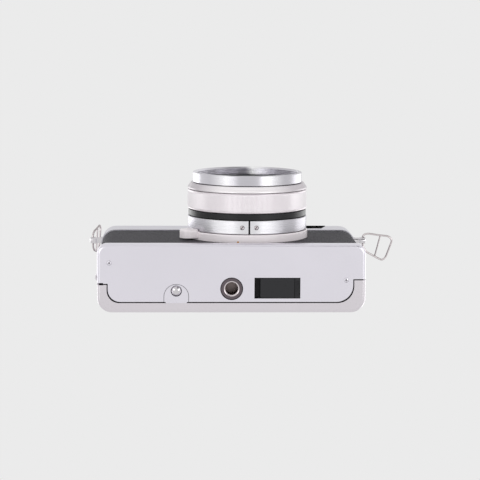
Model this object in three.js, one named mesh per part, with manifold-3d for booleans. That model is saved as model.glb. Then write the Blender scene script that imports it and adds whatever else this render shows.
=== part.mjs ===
// A compact 35 mm rangefinder film camera with a fixed lens, built as separate pieces.
// Millimetres, +Z up. The camera stands on its bottom plate and the lens points along -Y.
// The origin is the middle of the bottom plate's outer face.
import * as THREE from 'three';
import { mergeVertices } from 'three/addons/utils/BufferGeometryUtils.js';
import Module from 'manifold-3d';

const wasm = await Module();
wasm.setup();

// ---- Driving dimensions ------------------------------------------------------------------

// Clearances
const fit = 0.3;
const seam = 0.4;
const runningFit = 0.4;

// Body
const bodyLength = 120.4;
const bodyDepth = 31;
const bodyFrontY = -13.15;
const plateCornerRadius = 4;
const upperCornerRadius = 6;
const backCornerRadius = 6;
const plateEdgeRadius = 1.5;
const coverEdgeRadius = 2.5;
const sheet = 1;
const plateRimHeight = 5;
const coverHeight = 18;
const coverBackOverlap = 1.1;

// Leatherette
const leatherSetback = 0.5;
const leatherThickness = 0.5;

// Back door and its hinge
const doorBackWall = 1.6;
const doorBandDepth = 4.7;
const doorBandLeft = 4.5;
const doorBandRight = 5.4;
const doorRightFrontY = 2.85;
const seamCornerRadius = 5;
const doorRecessDepth = 0.85;
const doorLeatherSideMargin = 8.2;
const doorLeatherEndMargin = 5;
const hingeInset = 0.9;
const hingeY = 2.65;
const hingeKnuckleRadius = 2;
const hingePinRadius = 0.9;
const hingeBottomZ = 6;
const hingeKnuckleLength = 8;
const hingeTopGap = 2;
const leafThickness = 1.3;
const leafLength = 7;

// Chassis and film path
const filmPlaneSetback = 5.35;
const railHeight = 0.4;
const railWidth = 1.2;
const railEndGap = 1;
const gateRailOffset = 1.6;
const guideRailOffset = 1;
const lightBoxSetback = 3.85;
const lightBoxOverlap = 3;
const mouthStep = 0.5;
const gateWidth = 36;
const gateHeight = 24;
const filmWidth = 35;
const chamberRoof = 2.1;
const chamberFloor = 10.8;
const chamberWall = 1.1;
const chassisStep = 0.9;
const cartridgeRadius = 12.5;
const cartridgeHeight = 47;
const cartridgeSetback = 10.3;
const takeUpRadius = 11.6;
const takeUpMargin = 3;
const spoolSetback = 11.5;
const spoolFlange = 1.2;
const spoolRadius = 6;
const spoolFlangeRadius = 9.5;
const shaftRadius = 2.2;
const shaftSeatDepth = 4;
const shaftEndGap = 0.5;
const shaftJointDepth = 3;
const sprocketTopSeat = 2;
const sprocketRadius = 5.2;
const toothHeight = 1;
const toothWidth = 1.4;
const toothRoot = 1;
const toothCount = 8;
const perforationSpacing = 28.2;
const pressurePlateThickness = 1.6;
const pressurePlateWidth = 44;
const pressurePlateHeight = 30;
const pressurePlateTravel = 0.5;
const springLength = 30;
const springFoot = 4;
const springHeight = 8;
const springStep = 0.4;
const springGap = 0.1;

// Lens, measured along -Y from the front of the bottom plate
const lensX = 8.1;
const lensToTop = 8;
const lensHoleDepth = 3;
const baseRingRadius = 28;
const baseRingWall = 3;
const baseRingFront = 3;
const shroudRadius = 27.5;
const shroudFront = 9.5;
const bandRadius = 27.2;
const bandFront = 12.5;
const focusRadius = 27.6;
const focusFront = 21.7;
const focusChamfer = 0.4;
const bevelFrontRadius = 26.15;
const bevelLand = 0.6;
const bevelFront = 24.8;
const filterRadius = 25.2;
const filterInnerRadius = 23.8;
const filterFront = 29.5;
const filterDepth = 3.6;
const filterChamfer = 0.3;
const filterFloorWidth = 3;
const barrelRadius = 20;
const barrelWall = 2.5;
const cellWall = 2.7;
const cellRearReach = 6;
const hubLip = 2;
const glassSeatDepth = 3;
const glassEdgeDrop = 0.6;
const glassBulge = 3;
const shutterBack = 10;
const shutterFront = 16;
const shutterOpeningRadius = 5;
const shutterFunnelRadius = 8;
const bladeThickness = 2;
const nameRingStep = 0.8;
const nameRingThickness = 0.6;
const nameRingLip = 0.2;
const nameRingSlope = 1.2;
const meterWindowRadius = 2;
const meterWindowGap = 0.2;
const meterWindowProud = 0.1;
const tabAngle = 207;
const tabReach = 35;
const tabWidth = 8;
const tabCorner = 2;
const tabRoot = 1.2;
const tabBack = 0.2;
const tabFront = 4.4;
const shroudSlotWidth = 0.8;
const clampScrewSpacing = 6.4;
const clampScrewRadius = 1;
const clampScrewGap = 0.25;
const clampScrewSink = 0.25;
const clampScrewLength = 3;
const clampSlot = [1.6, 0.3, 0.35];

// Bottom plate fittings
const socketX = 0;
const socketSetback = 6.2;
const socketFlangeRadius = 4.8;
const socketBodyRadius = 4.1;
const socketBoreRadius = 2.75;
const socketChamfer = 0.5;
const socketShoulder = 0.6;
const socketFloor = 1;
const socketDepth = 8.5;
const batteryLeftX = 10.2;
const batteryRightX = 30.8;
const batterySetback = 1.8;
const batteryOpening = 9.4;
const batteryCoverSlide = 2.4;
const batteryCoverThickness = 1.1;
const batteryCoverSink = 0.1;
const batteryGripWidth = 2.5;
const batteryGroove = [0.3, 0.25];
const chamberMargin = 0.6;
const chamberShift = 0.45;
const batteryChamberRoof = 1.6;
const contactRoom = 1.7;
const contactSize = [6, 3, 1.1];
const cellRise = 0.8;
const cellRadius = 7.8;
const cellThickness = 6.1;
const releaseX = -24.8;
const releaseSetback = 5.2;
const releaseRadius = 2.4;
const releaseDome = [0.1, 0.16, 0.4, 0.8];
const releaseTopZ = 3.4;
const releaseHoleTopZ = 6;
const seatRadius = 5.45;
const seatSetback = 8.1;
const seatGap = 0.25;
const plateScrewRadius = 1;
const plateScrewShank = 0.7;
const plateScrewLength = 5;
const plateScrewHead = [0.05, 0.5, 1];
const plateScrewSlot = [1.4, 0.35, 0.4];
const leftScrewInset = [5.4, 8.5];
const rightScrewInset = [8.8, 16.2];

// Strap lugs and rings
const lugRadius = 1.6;
const lugReach = 5.5;
const lugHoleInset = 1.4;
const lugHoleRadius = 0.85;
const lugSetback = 5.4;
const lugRise = 3;
const wireRadius = 0.42;
const wireCore = 0.2;
const ringCorners = [
  [0, -2.6], [2.4, -4.2], [7.4, -5.2], [12.4, -6.5], [14.1, -5.3], [13.2, -2.3],
  [11.1, 4.1], [9.4, 6.2], [7.1, 5.9], [2.1, 5], [0, 3.1],
];
const ringMiddle = [7, 0.5];
const ringBarMiddle = [7.1, 0.1];
const ringBarRun = [11.2, 2.6];
const ringBarLength = 11;
const leftRingTilt = 13; // degrees from upright, towards the end of the cover

// Window panel in the front of the top cover
const panelLeftX = -15;
const panelRightX = 47.5;
const panelBottomDrop = 12;
const panelTopDrop = 2.7;
const panelSlant = 2.7;
const panelProud = 0.2;
const panelThickness = 1;
const paneThickness = 0.7;
const paneSink = 0.1;
const finderX = 31.5;
const finderWindow = [12, 6.4];
const finderDrop = 4.3;
const finderBlockWidth = 11;
const finderBlockTopGap = 0.7;
const finderBlockWalls = [1.5, 1];
const illuminationX = 16.5;
const illuminationWindow = [10, 3.6];
const rangeX = -1;
const rangeWindow = [5, 3];
const smallWindowDrop = 2.9;
const eyepieceWidth = 11;
const eyepieceHeight = 6;
const eyepieceDrop = 5.2;
const eyepieceDepth = 3.9;
const eyepieceRim = 1.5;
const eyepieceGlassSink = 1;
const eyepieceGlassThickness = 1.4;

// Controls on the top cover
const rewindInset = 17.2;
const knobRadius = 8.5;
const knobHeight = 2.9;
const knobChamfer = 0.5;
const knobFloor = 0.5;
const crankWidth = 4.6;
const crankThickness = 0.9;
const crankPinOffset = 6;
const crankReach = 12.2;
const crankSink = 0.6;
const crankTail = 0.5;
const crankCorner = 2;
const crankGripRadius = 1.5;
const crankGripInset = 0.6;
const crankGripDepth = 1.3;
const bushingRadius = 3.7;
const forkRadius = 3;
const forkDrop = 2;
const forkLength = 6;
const forkSlot = [1.6, 4];
const advanceInset = 16.2;
const leverHubRadius = 7.5;
const leverHubShoulder = 2;
const leverReach = 25;
const leverWidth = 6;
const leverThickness = 1.4;
const leverCapRadius = 4.6;
const leverCapHeight = 0.7;
const leverRestAngle = 27;
const leverTipLength = 9;
const leverTipProud = 0.8;
const leverTipCorners = [2.4, 2.8];
const tongueWidth = 2;
const tongueInset = 0.4;
const tongueRoot = 2;
const tongueEndInset = 3;
const shutterOffset = [14, -5.5];
const shutterButtonRadius = 3.2;
const shutterTravel = 3;
const shutterStemRadius = 1.6;
const shutterSkirt = 0.5;
const shutterEdge = [0.6, 0.5];
const shutterDish = [1.4, 0.3];
const releaseThread = [1, 2.5];
const buttonProud = 0.2;
const collarRadius = 5.2;
const collarHeight = 1.7;
const collarSlope = 0.5;
const counterOffset = [28, -2.5];
const dialRadius = 6.5;
const dialThickness = 0.8;
const dialPostRadius = 1.5;
const dialGap = 1;
const counterWindowRadius = 3.6;
const counterWindowOffset = 3;
const counterWindowDome = [0.1, 0.4, 0.5];
const shoeX = 8;
const shoeSetback = 1;
const shoeWidth = 20.8;
const shoeLength = 18;
const shoeSlot = 2;
const shoeBase = 1;
const shoeWall = 1;
const shoeLip = 4.2;
const shoeLipThickness = 0.8;
const shoeHoleRadius = 1.9;
const shoeContactRadius = 1.5;
const shoeContactProud = 0.1;
const latchInset = 2.9;
const latchWidth = 4;
const latchThickness = 0.9;
const latchSetback = 0.8;
const latchBottomZ = 10;
const latchRise = 2;
const latchNose = [1.4, 3];
const latchNoseInset = [4, 8];

// ---- Derived places ----------------------------------------------------------------------

const halfLength = bodyLength / 2;
const bodyBackY = bodyFrontY + bodyDepth;
const leatherBottomZ = plateRimHeight + fit;
const chassisBottomZ = sheet + fit;
const lensZ = chassisBottomZ + chamberFloor + runningFit + cartridgeHeight / 2;
const coverTopZ = lensZ + baseRingRadius + lensToTop;
const coverBottomZ = coverTopZ - coverHeight;
const hingeTopZ = coverBottomZ - hingeTopGap;
const latchTopZ = coverBottomZ + latchRise;
const filmPlaneY = bodyBackY - filmPlaneSetback;
const doorSeamY = bodyBackY - doorBandDepth;
const doorLeftSeamX = -halfLength + doorBandLeft;
const doorRightSeamX = halfLength - doorBandRight;
const hingeX = -halfLength + hingeInset;
const doorLeftFrontY = hingeY + hingeKnuckleRadius + fit;
const rewindX = halfLength - rewindInset;
const rewindY = filmPlaneY - cartridgeSetback;
const advanceX = -halfLength + advanceInset;
const advanceY = filmPlaneY - spoolSetback;
const shutterX = advanceX + shutterOffset[0];
const shutterY = advanceY + shutterOffset[1];
const counterX = advanceX + counterOffset[0];
const counterY = advanceY + counterOffset[1];
const shoeY = advanceY + shoeSetback;
const socketY = doorSeamY - socketSetback;
const batteryBackY = doorSeamY - batterySetback;
const batteryFrontY = batteryBackY - batteryOpening;
const releaseY = doorSeamY - releaseSetback;
const seatFrontY = doorSeamY - seatSetback;
const leftScrew = [-halfLength + leftScrewInset[0], bodyFrontY + leftScrewInset[1]];
const rightScrew = [halfLength - rightScrewInset[0], bodyFrontY + rightScrewInset[1]];
const lugTipX = halfLength + lugReach;
const lugHoleX = lugTipX - lugHoleInset;
const lugY = bodyFrontY + lugSetback;
const lugZ = coverBottomZ + lugRise;
const latchX = halfLength - latchInset;
const panelTopZ = coverTopZ - panelTopDrop;
const panelBottomZ = coverTopZ - panelBottomDrop;
const finderZ = panelTopZ - finderDrop;
const smallWindowZ = panelTopZ - smallWindowDrop;
const eyepieceZ = coverTopZ - eyepieceDrop;
const cellTubeRadius = barrelRadius - barrelWall - fit;
const cellInnerRadius = cellTubeRadius - cellWall;
const cellHubRadius = barrelRadius + hubLip;
const nameRingInnerRadius = cellInnerRadius + nameRingStep;
const leatherInset = leatherSetback + leatherThickness;
const chassisInset = leatherInset + fit;
const chassisFrontY = bodyFrontY + chassisInset;
const leatherTopZ = coverBottomZ - fit;
const chassisRearY = filmPlaneY - railHeight;
const cartridgeChamberRadius = cartridgeRadius + runningFit;
const cartridgeFloorZ = lensZ - cartridgeHeight / 2 - runningFit;
const cartridgeCeilingZ = lensZ + cartridgeHeight / 2 + runningFit;
const chassisTopZ = cartridgeCeilingZ + chamberRoof;
const coverBackZ = cartridgeCeilingZ + coverBackOverlap;
const doorTopZ = coverBackZ - fit;
const deckZ = coverTopZ + fit;
const doorInnerY = bodyBackY - doorBackWall;
const batteryCentreX = (batteryLeftX + batteryCoverSlide + fit + batteryRightX - fit) / 2;
const batteryCentreY = (batteryFrontY + batteryBackY) / 2;
const releaseSeatY = seatFrontY + seatRadius;
const cellX = batteryCentreX;
const cellZ = chassisBottomZ + cellRise + cellRadius;
const contactZ = cellZ + cellRadius + fit;
const cellPocketTopZ = cellZ + cellRadius + contactRoom;
const batteryChamberTopZ = cellPocketTopZ + batteryChamberRoof;
const batteryChamberBottomZ = batteryCoverSink + batteryCoverThickness + runningFit;
// A cut runs this far past the faces it opens, and big is past everything.
const past = 10;
const big = 2 * bodyLength;
// A corner drawn as a parabola starts this many times further out than an arc of its radius.
const cornerReach = 1.3;
const leastCornerRadius = 0.5;

// ---- Finishes ----------------------------------------------------------------------------

const satinChrome = { color: 0xd9d7dd, roughness: 0.38, metalness: 0.85 };
const brightChrome = { color: 0xe6e4e8, roughness: 0.15, metalness: 0.95 };
const anodised = { color: 0xdcdae0, roughness: 0.42, metalness: 0.7 };
const blackAnodised = { color: 0x141416, roughness: 0.4, metalness: 0.4 };
const castAlloy = { color: 0x3a3a3e, roughness: 0.7, metalness: 0.3 };
const darkSteel = { color: 0x77757a, roughness: 0.45, metalness: 0.8 };
const leatherette = { color: 0x57545b, roughness: 0.8, metalness: 0 };
const blackPlastic = { color: 0x2e2e32, roughness: 0.5, metalness: 0 };
const blackGloss = { color: 0x050506, roughness: 0.1, metalness: 0 };
const glass = { color: 0x30343c, roughness: 0.05, metalness: 0 };
const brass = { color: 0xb89a5a, roughness: 0.4, metalness: 0.8 };

// ---- Solids ------------------------------------------------------------------------------

// Turns a closed three.js geometry into a manifold solid whose faces point out.
function toSolid(geometry) {
  geometry.deleteAttribute('normal');
  geometry.deleteAttribute('uv');
  const merged = mergeVertices(geometry, 1e-4);
  const points = merged.attributes.position.array;
  const corners = merged.index.array;
  const faces = [];
  let volume = 0;
  const a = new THREE.Vector3();
  const b = new THREE.Vector3();
  const c = new THREE.Vector3();
  for (let i = 0; i < corners.length; i += 3) {
    const [p, q, r] = [corners[i], corners[i + 1], corners[i + 2]];
    if (p === q || q === r || r === p) continue;
    a.fromArray(points, p * 3);
    b.fromArray(points, q * 3);
    c.fromArray(points, r * 3);
    volume += a.dot(b.cross(c));
    faces.push(p, q, r);
  }
  if (volume < 0) faces.reverse();
  const mesh = { numProp: 3, vertProperties: new Float32Array(points), triVerts: new Uint32Array(faces) };
  return new wasm.Manifold(new wasm.Mesh(mesh));
}

// Adds a solid to a group as a named mesh with its own material.
function addPiece(group, name, solid, finish) {
  const mesh = solid.getMesh();
  const geometry = new THREE.BufferGeometry();
  geometry.setAttribute('position', new THREE.BufferAttribute(new Float32Array(mesh.vertProperties), 3));
  geometry.setIndex(new THREE.BufferAttribute(new Uint32Array(mesh.triVerts), 1));
  geometry.computeVertexNormals();
  const piece = new THREE.Mesh(geometry, new THREE.MeshStandardMaterial(finish));
  piece.name = name;
  group.add(piece);
}

function box(x0, x1, y0, y1, z0, z1) {
  const geometry = new THREE.BoxGeometry(x1 - x0, y1 - y0, z1 - z0);
  geometry.translate((x0 + x1) / 2, (y0 + y1) / 2, (z0 + z1) / 2);
  return toSolid(geometry);
}

// A round rod along X, Y or Z; centre is the place of its axis in the other two directions.
function rod(axis, radius, from, to, centre = [0, 0], sides = 24) {
  const geometry = new THREE.CylinderGeometry(radius, radius, to - from, sides);
  geometry.translate(0, (from + to) / 2, 0);
  if (axis === 'x') {
    geometry.rotateZ(-Math.PI / 2);
    geometry.translate(0, centre[0], centre[1]);
  } else if (axis === 'y') {
    geometry.translate(centre[0], 0, centre[1]);
  } else {
    geometry.rotateX(Math.PI / 2);
    geometry.translate(centre[0], centre[1], 0);
  }
  return toSolid(geometry);
}

// Turns a closed profile of [radius, height] about the Y axis, or about Z when axis is 'z'.
function turned(profile, axis = 'y', sides = 36) {
  const geometry = new THREE.LatheGeometry(profile.map((p) => new THREE.Vector2(p[0], p[1])), sides);
  if (axis === 'z') geometry.rotateX(Math.PI / 2);
  return toSolid(geometry);
}

// A plain ring about the Y axis between two stations.
function ring(inner, outer, y0, y1, sides = 36) {
  return turned([[inner, y0], [outer, y0], [outer, y1], [inner, y1], [inner, y0]], 'y', sides);
}

// Pushes an outline in the XY plane up from z0 to z1.
function prism(shape, z0, z1, curveSegments = 3) {
  const geometry = new THREE.ExtrudeGeometry(shape, { depth: z1 - z0, bevelEnabled: false, curveSegments });
  geometry.translate(0, 0, z0);
  return toSolid(geometry);
}

// An outline through corner points, each [x, y, radius], with its corners rounded.
function roundedShape(corners) {
  const path = new THREE.Shape();
  const count = corners.length;
  corners.forEach(([x, y, radius = 0], i) => {
    const here = new THREE.Vector2(x, y);
    const before = new THREE.Vector2(...corners[(i + count - 1) % count].slice(0, 2));
    const after = new THREE.Vector2(...corners[(i + 1) % count].slice(0, 2));
    const start = before.sub(here).normalize().multiplyScalar(radius).add(here);
    const end = after.sub(here).normalize().multiplyScalar(radius).add(here);
    if (i === 0) path.moveTo(start.x, start.y);
    else path.lineTo(start.x, start.y);
    if (radius > 0) path.quadraticCurveTo(x, y, end.x, end.y);
  });
  path.closePath();
  return path;
}

// The camera's outline seen from above, drawn in from its outer face by inset.
function bodyOutline(inset, frontRadius, backInset = inset) {
  const x = halfLength - inset;
  const front = bodyFrontY + inset;
  const back = bodyBackY - backInset;
  const frontCorner = Math.max(frontRadius - inset, leastCornerRadius) * cornerReach;
  const backCorner = Math.max(backCornerRadius - inset, leastCornerRadius) * cornerReach;
  return roundedShape([
    [-x, front, frontCorner], [x, front, frontCorner], [x, back, backCorner], [-x, back, backCorner],
  ]);
}

// A body-shaped block whose lower and upper edges are rounded by radius.
function softBlock(frontRadius, z0, z1, radius) {
  const shape = bodyOutline(radius, frontRadius);
  const geometry = new THREE.ExtrudeGeometry(shape, {
    depth: z1 - z0 - 2 * radius,
    bevelEnabled: true,
    bevelThickness: radius,
    bevelSize: radius,
    bevelSegments: 2,
    curveSegments: 3,
  });
  geometry.translate(0, 0, z0 + radius);
  return toSolid(geometry);
}

// The part of the outline that belongs to the bottom plate, inside the door's U-shaped band.
function plateRegion(gap) {
  const margin = halfLength + past;
  const corner = seamCornerRadius * cornerReach;
  return roundedShape([
    [-margin, bodyFrontY - past],
    [margin, bodyFrontY - past],
    [margin, doorRightFrontY - gap],
    [doorRightSeamX - gap, doorRightFrontY - gap],
    [doorRightSeamX - gap, doorSeamY - gap, corner],
    [doorLeftSeamX + gap, doorSeamY - gap, corner],
    [doorLeftSeamX + gap, doorLeftFrontY - gap],
    [-margin, doorLeftFrontY - gap],
  ]);
}

const camera = new THREE.Group();

// ---- Body casings ------------------------------------------------------------------------

const doorBlock = softBlock(plateCornerRadius, 0, doorTopZ + past, plateEdgeRadius);
const plateArea = prism(plateRegion(seam / 2), -past, big);
const wideArea = (topZ) => prism(bodyOutline(-past, plateCornerRadius), -past, topZ);
const doorArea = wideArea(doorTopZ).subtract(prism(plateRegion(-seam / 2), -2 * past, big));

const lensHole = rod('y', baseRingRadius + fit, -big, bodyFrontY + lensHoleDepth, [lensX, lensZ], 36);

// Bottom plate: a pressed tray with a low rim round the front and the two ends.
const releaseSeatShape = (grow) => {
  const shape = new THREE.Shape();
  shape.moveTo(releaseX - seatRadius - grow, doorSeamY + grow);
  shape.lineTo(releaseX - seatRadius - grow, releaseSeatY);
  shape.absarc(releaseX, releaseSeatY, seatRadius + grow, Math.PI, 2 * Math.PI, false);
  shape.lineTo(releaseX + seatRadius + grow, doorSeamY + grow);
  shape.closePath();
  return shape;
};
const bottomPlate = doorBlock
  .intersect(box(-big, big, -big, big, -past, plateRimHeight))
  .intersect(plateArea)
  .subtract(prism(bodyOutline(sheet, plateCornerRadius), sheet, big))
  .subtract(rod('z', socketFlangeRadius + fit, -past, plateRimHeight, [socketX, socketY]))
  .subtract(box(batteryLeftX, batteryRightX, batteryFrontY, batteryBackY, -past, plateRimHeight))
  .subtract(prism(releaseSeatShape(seatGap), -past, plateRimHeight, 16))
  .subtract(rod('z', plateScrewRadius + fit, -past, plateRimHeight, leftScrew, 20))
  .subtract(rod('z', plateScrewRadius + fit, -past, plateRimHeight, rightScrew, 20))
  .subtract(lensHole);
addPiece(camera, 'bottom_plate', bottomPlate, satinChrome);

// Back door: back wall, end walls and bottom band in one pressing, with two hinge knuckles.
const hingeBore = rod('z', hingePinRadius + fit, 0, big, [hingeX, hingeY], 20);
const hingeKnuckle = (z0, z1) => rod('z', hingeKnuckleRadius, z0, z1, [hingeX, hingeY], 28);
const doorKnuckle = (z0) => {
  const z1 = z0 + hingeKnuckleLength;
  const web = box(-halfLength, -halfLength + sheet, hingeY + sheet, doorLeftFrontY + sheet, z0, z1);
  return hingeKnuckle(z0, z1).add(web);
};
const doorLeatherHalf = halfLength - doorLeatherSideMargin;
const doorLeatherTopZ = doorTopZ - doorLeatherEndMargin;
const doorRecessY = bodyBackY - doorRecessDepth;
const doorRecess = box(-doorLeatherHalf - fit, doorLeatherHalf + fit, doorRecessY, bodyBackY + past,
  doorLeatherEndMargin - fit, doorLeatherTopZ + fit);
const backDoor = doorBlock
  .intersect(doorArea)
  .subtract(prism(bodyOutline(sheet, plateCornerRadius, doorBackWall), sheet, big))
  .subtract(doorRecess)
  .add(doorKnuckle(hingeBottomZ))
  .add(doorKnuckle(hingeTopZ - hingeKnuckleLength))
  .subtract(hingeBore);
const door = new THREE.Group();
camera.add(door);
addPiece(door, 'back_door', backDoor, satinChrome);

// Castings: the chassis with the film gate, and the housing of the take-up spool beside it.
const castingBlank = prism(bodyOutline(chassisInset, upperCornerRadius), chassisBottomZ, chassisTopZ)
  .intersect(box(-big, big, -big, chassisRearY, 0, big));
const housingLeftRearX = advanceX - takeUpRadius - chamberWall;
const leafFrontY = hingeY - leafLength;
const takeUpBottomZ = lensZ - filmWidth / 2 - takeUpMargin;
const takeUpTopZ = lensZ + filmWidth / 2 + takeUpMargin;
const takeUpRightX = advanceX + takeUpRadius;
const shaftSeatZ = takeUpBottomZ - shaftSeatDepth;
const sprocketX = releaseX;
const sprocketY = filmPlaneY - sprocketRadius;
const sprocketPocket = sprocketRadius + toothHeight + runningFit;
const housingRightX = sprocketX + sprocketPocket + chamberWall;
const takeUpHousing = castingBlank
  .subtract(box(housingRightX, big, -big, big, 0, big))
  .subtract(box(-big, housingLeftRearX, leafFrontY - fit, big, 0, big))
  .subtract(rod('z', takeUpRadius, takeUpBottomZ, takeUpTopZ, [advanceX, advanceY], 28))
  .subtract(box(advanceX - takeUpRadius, takeUpRightX, advanceY, big, takeUpBottomZ, takeUpTopZ))
  .subtract(rod('z', shaftRadius + fit, shaftSeatZ, big, [advanceX, advanceY], 24))
  .subtract(rod('z', sprocketPocket, takeUpBottomZ, takeUpTopZ, [sprocketX, sprocketY], 24))
  .subtract(box(sprocketX - sprocketPocket, sprocketX + sprocketPocket, sprocketY, big,
    takeUpBottomZ, takeUpTopZ))
  .subtract(rod('z', shaftRadius + fit, shaftSeatZ, takeUpTopZ + sprocketTopSeat, [sprocketX, sprocketY], 24))
  .subtract(rod('z', releaseRadius + fit, 0, releaseHoleTopZ, [releaseX, releaseY], 24))
  .subtract(rod('z', plateScrewRadius, 0, plateScrewLength + fit, leftScrew, 20));
addPiece(camera, 'take_up_housing', takeUpHousing, castAlloy);
const chamberBlock = (grow, bottomZ) => {
  return box(batteryLeftX - chamberMargin - grow, batteryRightX + chamberMargin + grow,
    batteryFrontY - chamberShift - grow, batteryBackY - chamberShift + grow,
    bottomZ, batteryChamberTopZ + grow);
};
const gateLeftX = lensX - gateWidth / 2;
const gateRightX = lensX + gateWidth / 2;
const gateBottomZ = lensZ - gateHeight / 2;
const gateTopZ = lensZ + gateHeight / 2;
const cartridgeRightX = rewindX + cartridgeChamberRadius;
const chassisRightRearX = cartridgeRightX + chamberWall;
const chassisLeftX = housingRightX + fit;
const cartridgeLeftX = rewindX - cartridgeChamberRadius;
const railLeftX = chassisLeftX + railEndGap;
const railRightX = cartridgeLeftX - railEndGap;
const rail = (z) => {
  return box(railLeftX, railRightX, chassisRearY - railHeight, filmPlaneY,
    z - railWidth / 2, z + railWidth / 2);
};
const barrelFlangeRadius = baseRingRadius - baseRingWall;
const lightBoxFrontY = chassisFrontY + lightBoxSetback;
const guideRailHalf = filmWidth / 2 + guideRailOffset;
const chassis = castingBlank
  .subtract(box(-big, chassisLeftX, -big, big, 0, big))
  .subtract(box(chassisRightRearX, big, doorRightFrontY - chassisStep, big, 0, big))
  .add(rail(gateBottomZ - gateRailOffset))
  .add(rail(gateTopZ + gateRailOffset))
  .add(rail(lensZ - guideRailHalf))
  .add(rail(lensZ + guideRailHalf))
  .subtract(box(gateLeftX, gateRightX, lightBoxFrontY, big, gateBottomZ, gateTopZ))
  .subtract(rod('y', barrelRadius - barrelWall + mouthStep, -big, lightBoxFrontY + lightBoxOverlap,
    [lensX, lensZ], 36))
  .subtract(rod('z', cartridgeChamberRadius, cartridgeFloorZ, cartridgeCeilingZ, [rewindX, rewindY], 28))
  .subtract(box(cartridgeLeftX, cartridgeRightX, rewindY, big, cartridgeFloorZ, cartridgeCeilingZ))
  .subtract(rod('z', forkRadius + runningFit, cartridgeCeilingZ - sheet, big, [rewindX, rewindY], 24))
  .subtract(rod('z', socketFlangeRadius + fit, 0, socketDepth + fit, [socketX, socketY]))
  .subtract(chamberBlock(fit, 0))
  .subtract(rod('z', plateScrewRadius, 0, plateScrewLength + fit, rightScrew, 20));
addPiece(camera, 'chassis', chassis, castAlloy);

// Front leatherette: a skin round the front and both ends, cut away round the lens.
const leatherEndLeftY = hingeY - hingeKnuckleRadius - fit;
const leatherEndRightY = doorRightFrontY - seam;
const frontLeather = prism(bodyOutline(leatherSetback, upperCornerRadius), leatherBottomZ, leatherTopZ)
  .subtract(prism(bodyOutline(leatherInset, upperCornerRadius), 0, big))
  .intersect(box(-big, 0, -big, leatherEndLeftY, 0, big).add(box(-past, big, -big, leatherEndRightY, 0, big)))
  .subtract(lensHole);
addPiece(camera, 'front_leatherette', frontLeather, leatherette);

// Door leatherette: a flat panel in the shallow recess of the door.
const doorLeatherFrontY = doorRecessY + fit;
const doorLeather = box(-doorLeatherHalf, doorLeatherHalf,
  doorLeatherFrontY, doorLeatherFrontY + leatherThickness, doorLeatherEndMargin, doorLeatherTopZ);
addPiece(door, 'door_leatherette', doorLeather, leatherette);

// Top cover: a pressed shell, higher at the back where the door reaches up to it.
const panelShape = (grow) => {
  const shape = new THREE.Shape();
  shape.moveTo(panelLeftX - grow, panelBottomZ - grow);
  shape.lineTo(panelRightX - panelSlant + grow, panelBottomZ - grow);
  shape.lineTo(panelRightX + grow, panelTopZ + grow);
  shape.lineTo(panelLeftX - grow, panelTopZ + grow);
  shape.closePath();
  return shape;
};
const panelSlab = (grow, y0, y1) => {
  const geometry = new THREE.ExtrudeGeometry(panelShape(grow), { depth: y1 - y0, bevelEnabled: false });
  geometry.rotateX(Math.PI / 2);
  geometry.translate(0, y1, 0);
  return toSolid(geometry);
};
const eyepieceHole = (grow, y0, y1) => {
  const halfWidth = eyepieceWidth / 2 + grow;
  const halfHeight = eyepieceHeight / 2 + grow;
  return box(finderX - halfWidth, finderX + halfWidth, y0, y1,
    eyepieceZ - halfHeight, eyepieceZ + halfHeight);
};
const deckHole = (radius, x, y, sides) => {
  return rod('z', radius, coverTopZ - coverEdgeRadius, coverTopZ + past, [x, y], sides);
};
const coverShell = softBlock(upperCornerRadius, coverBottomZ - past, coverTopZ, coverEdgeRadius)
  .subtract(box(-big, big, -big, big, -past, coverBottomZ))
  .subtract(prism(bodyOutline(sheet, upperCornerRadius), 0, coverTopZ - sheet))
  .subtract(wideArea(coverBackZ).subtract(prism(plateRegion(0), -2 * past, big)))
  .subtract(lensHole)
  .subtract(panelSlab(0, bodyFrontY - past, bodyFrontY + 2 * sheet))
  .subtract(eyepieceHole(0, bodyBackY - 2 * sheet, bodyBackY + past));
const topCover = coverShell
  .subtract(deckHole(bushingRadius + fit, rewindX, rewindY, 28))
  .subtract(deckHole(shaftRadius + runningFit, advanceX, advanceY, 24))
  .subtract(deckHole(shutterButtonRadius + fit, shutterX, shutterY, 28))
  .subtract(deckHole(counterWindowRadius + fit, counterX, counterY - counterWindowOffset, 28))
  .subtract(rod('x', lugRadius + fit, -big, -halfLength + 3 * sheet, [lugY, lugZ], 24))
  .subtract(rod('x', lugRadius + fit, halfLength - 3 * sheet, big, [lugY, lugZ], 24));
addPiece(camera, 'top_cover', topCover, satinChrome);

// Hinge: a leaf on the chassis with the middle knuckle, and the pin through all three knuckles.
const leafKnuckleBottomZ = hingeBottomZ + hingeKnuckleLength + fit;
const leafKnuckleTopZ = hingeTopZ - hingeKnuckleLength - fit;
const hingeLeaf = hingeKnuckle(leafKnuckleBottomZ, leafKnuckleTopZ)
  .add(box(housingLeftRearX - fit - leafThickness, housingLeftRearX - fit, leafFrontY, hingeY,
    leafKnuckleBottomZ, leafKnuckleTopZ))
  .subtract(hingeBore);
addPiece(camera, 'hinge_leaf', hingeLeaf, darkSteel);
const hingePin = rod('z', hingePinRadius, hingeBottomZ, hingeTopZ, [hingeX, hingeY], 20);
addPiece(camera, 'hinge_pin', hingePin, darkSteel);

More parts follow.
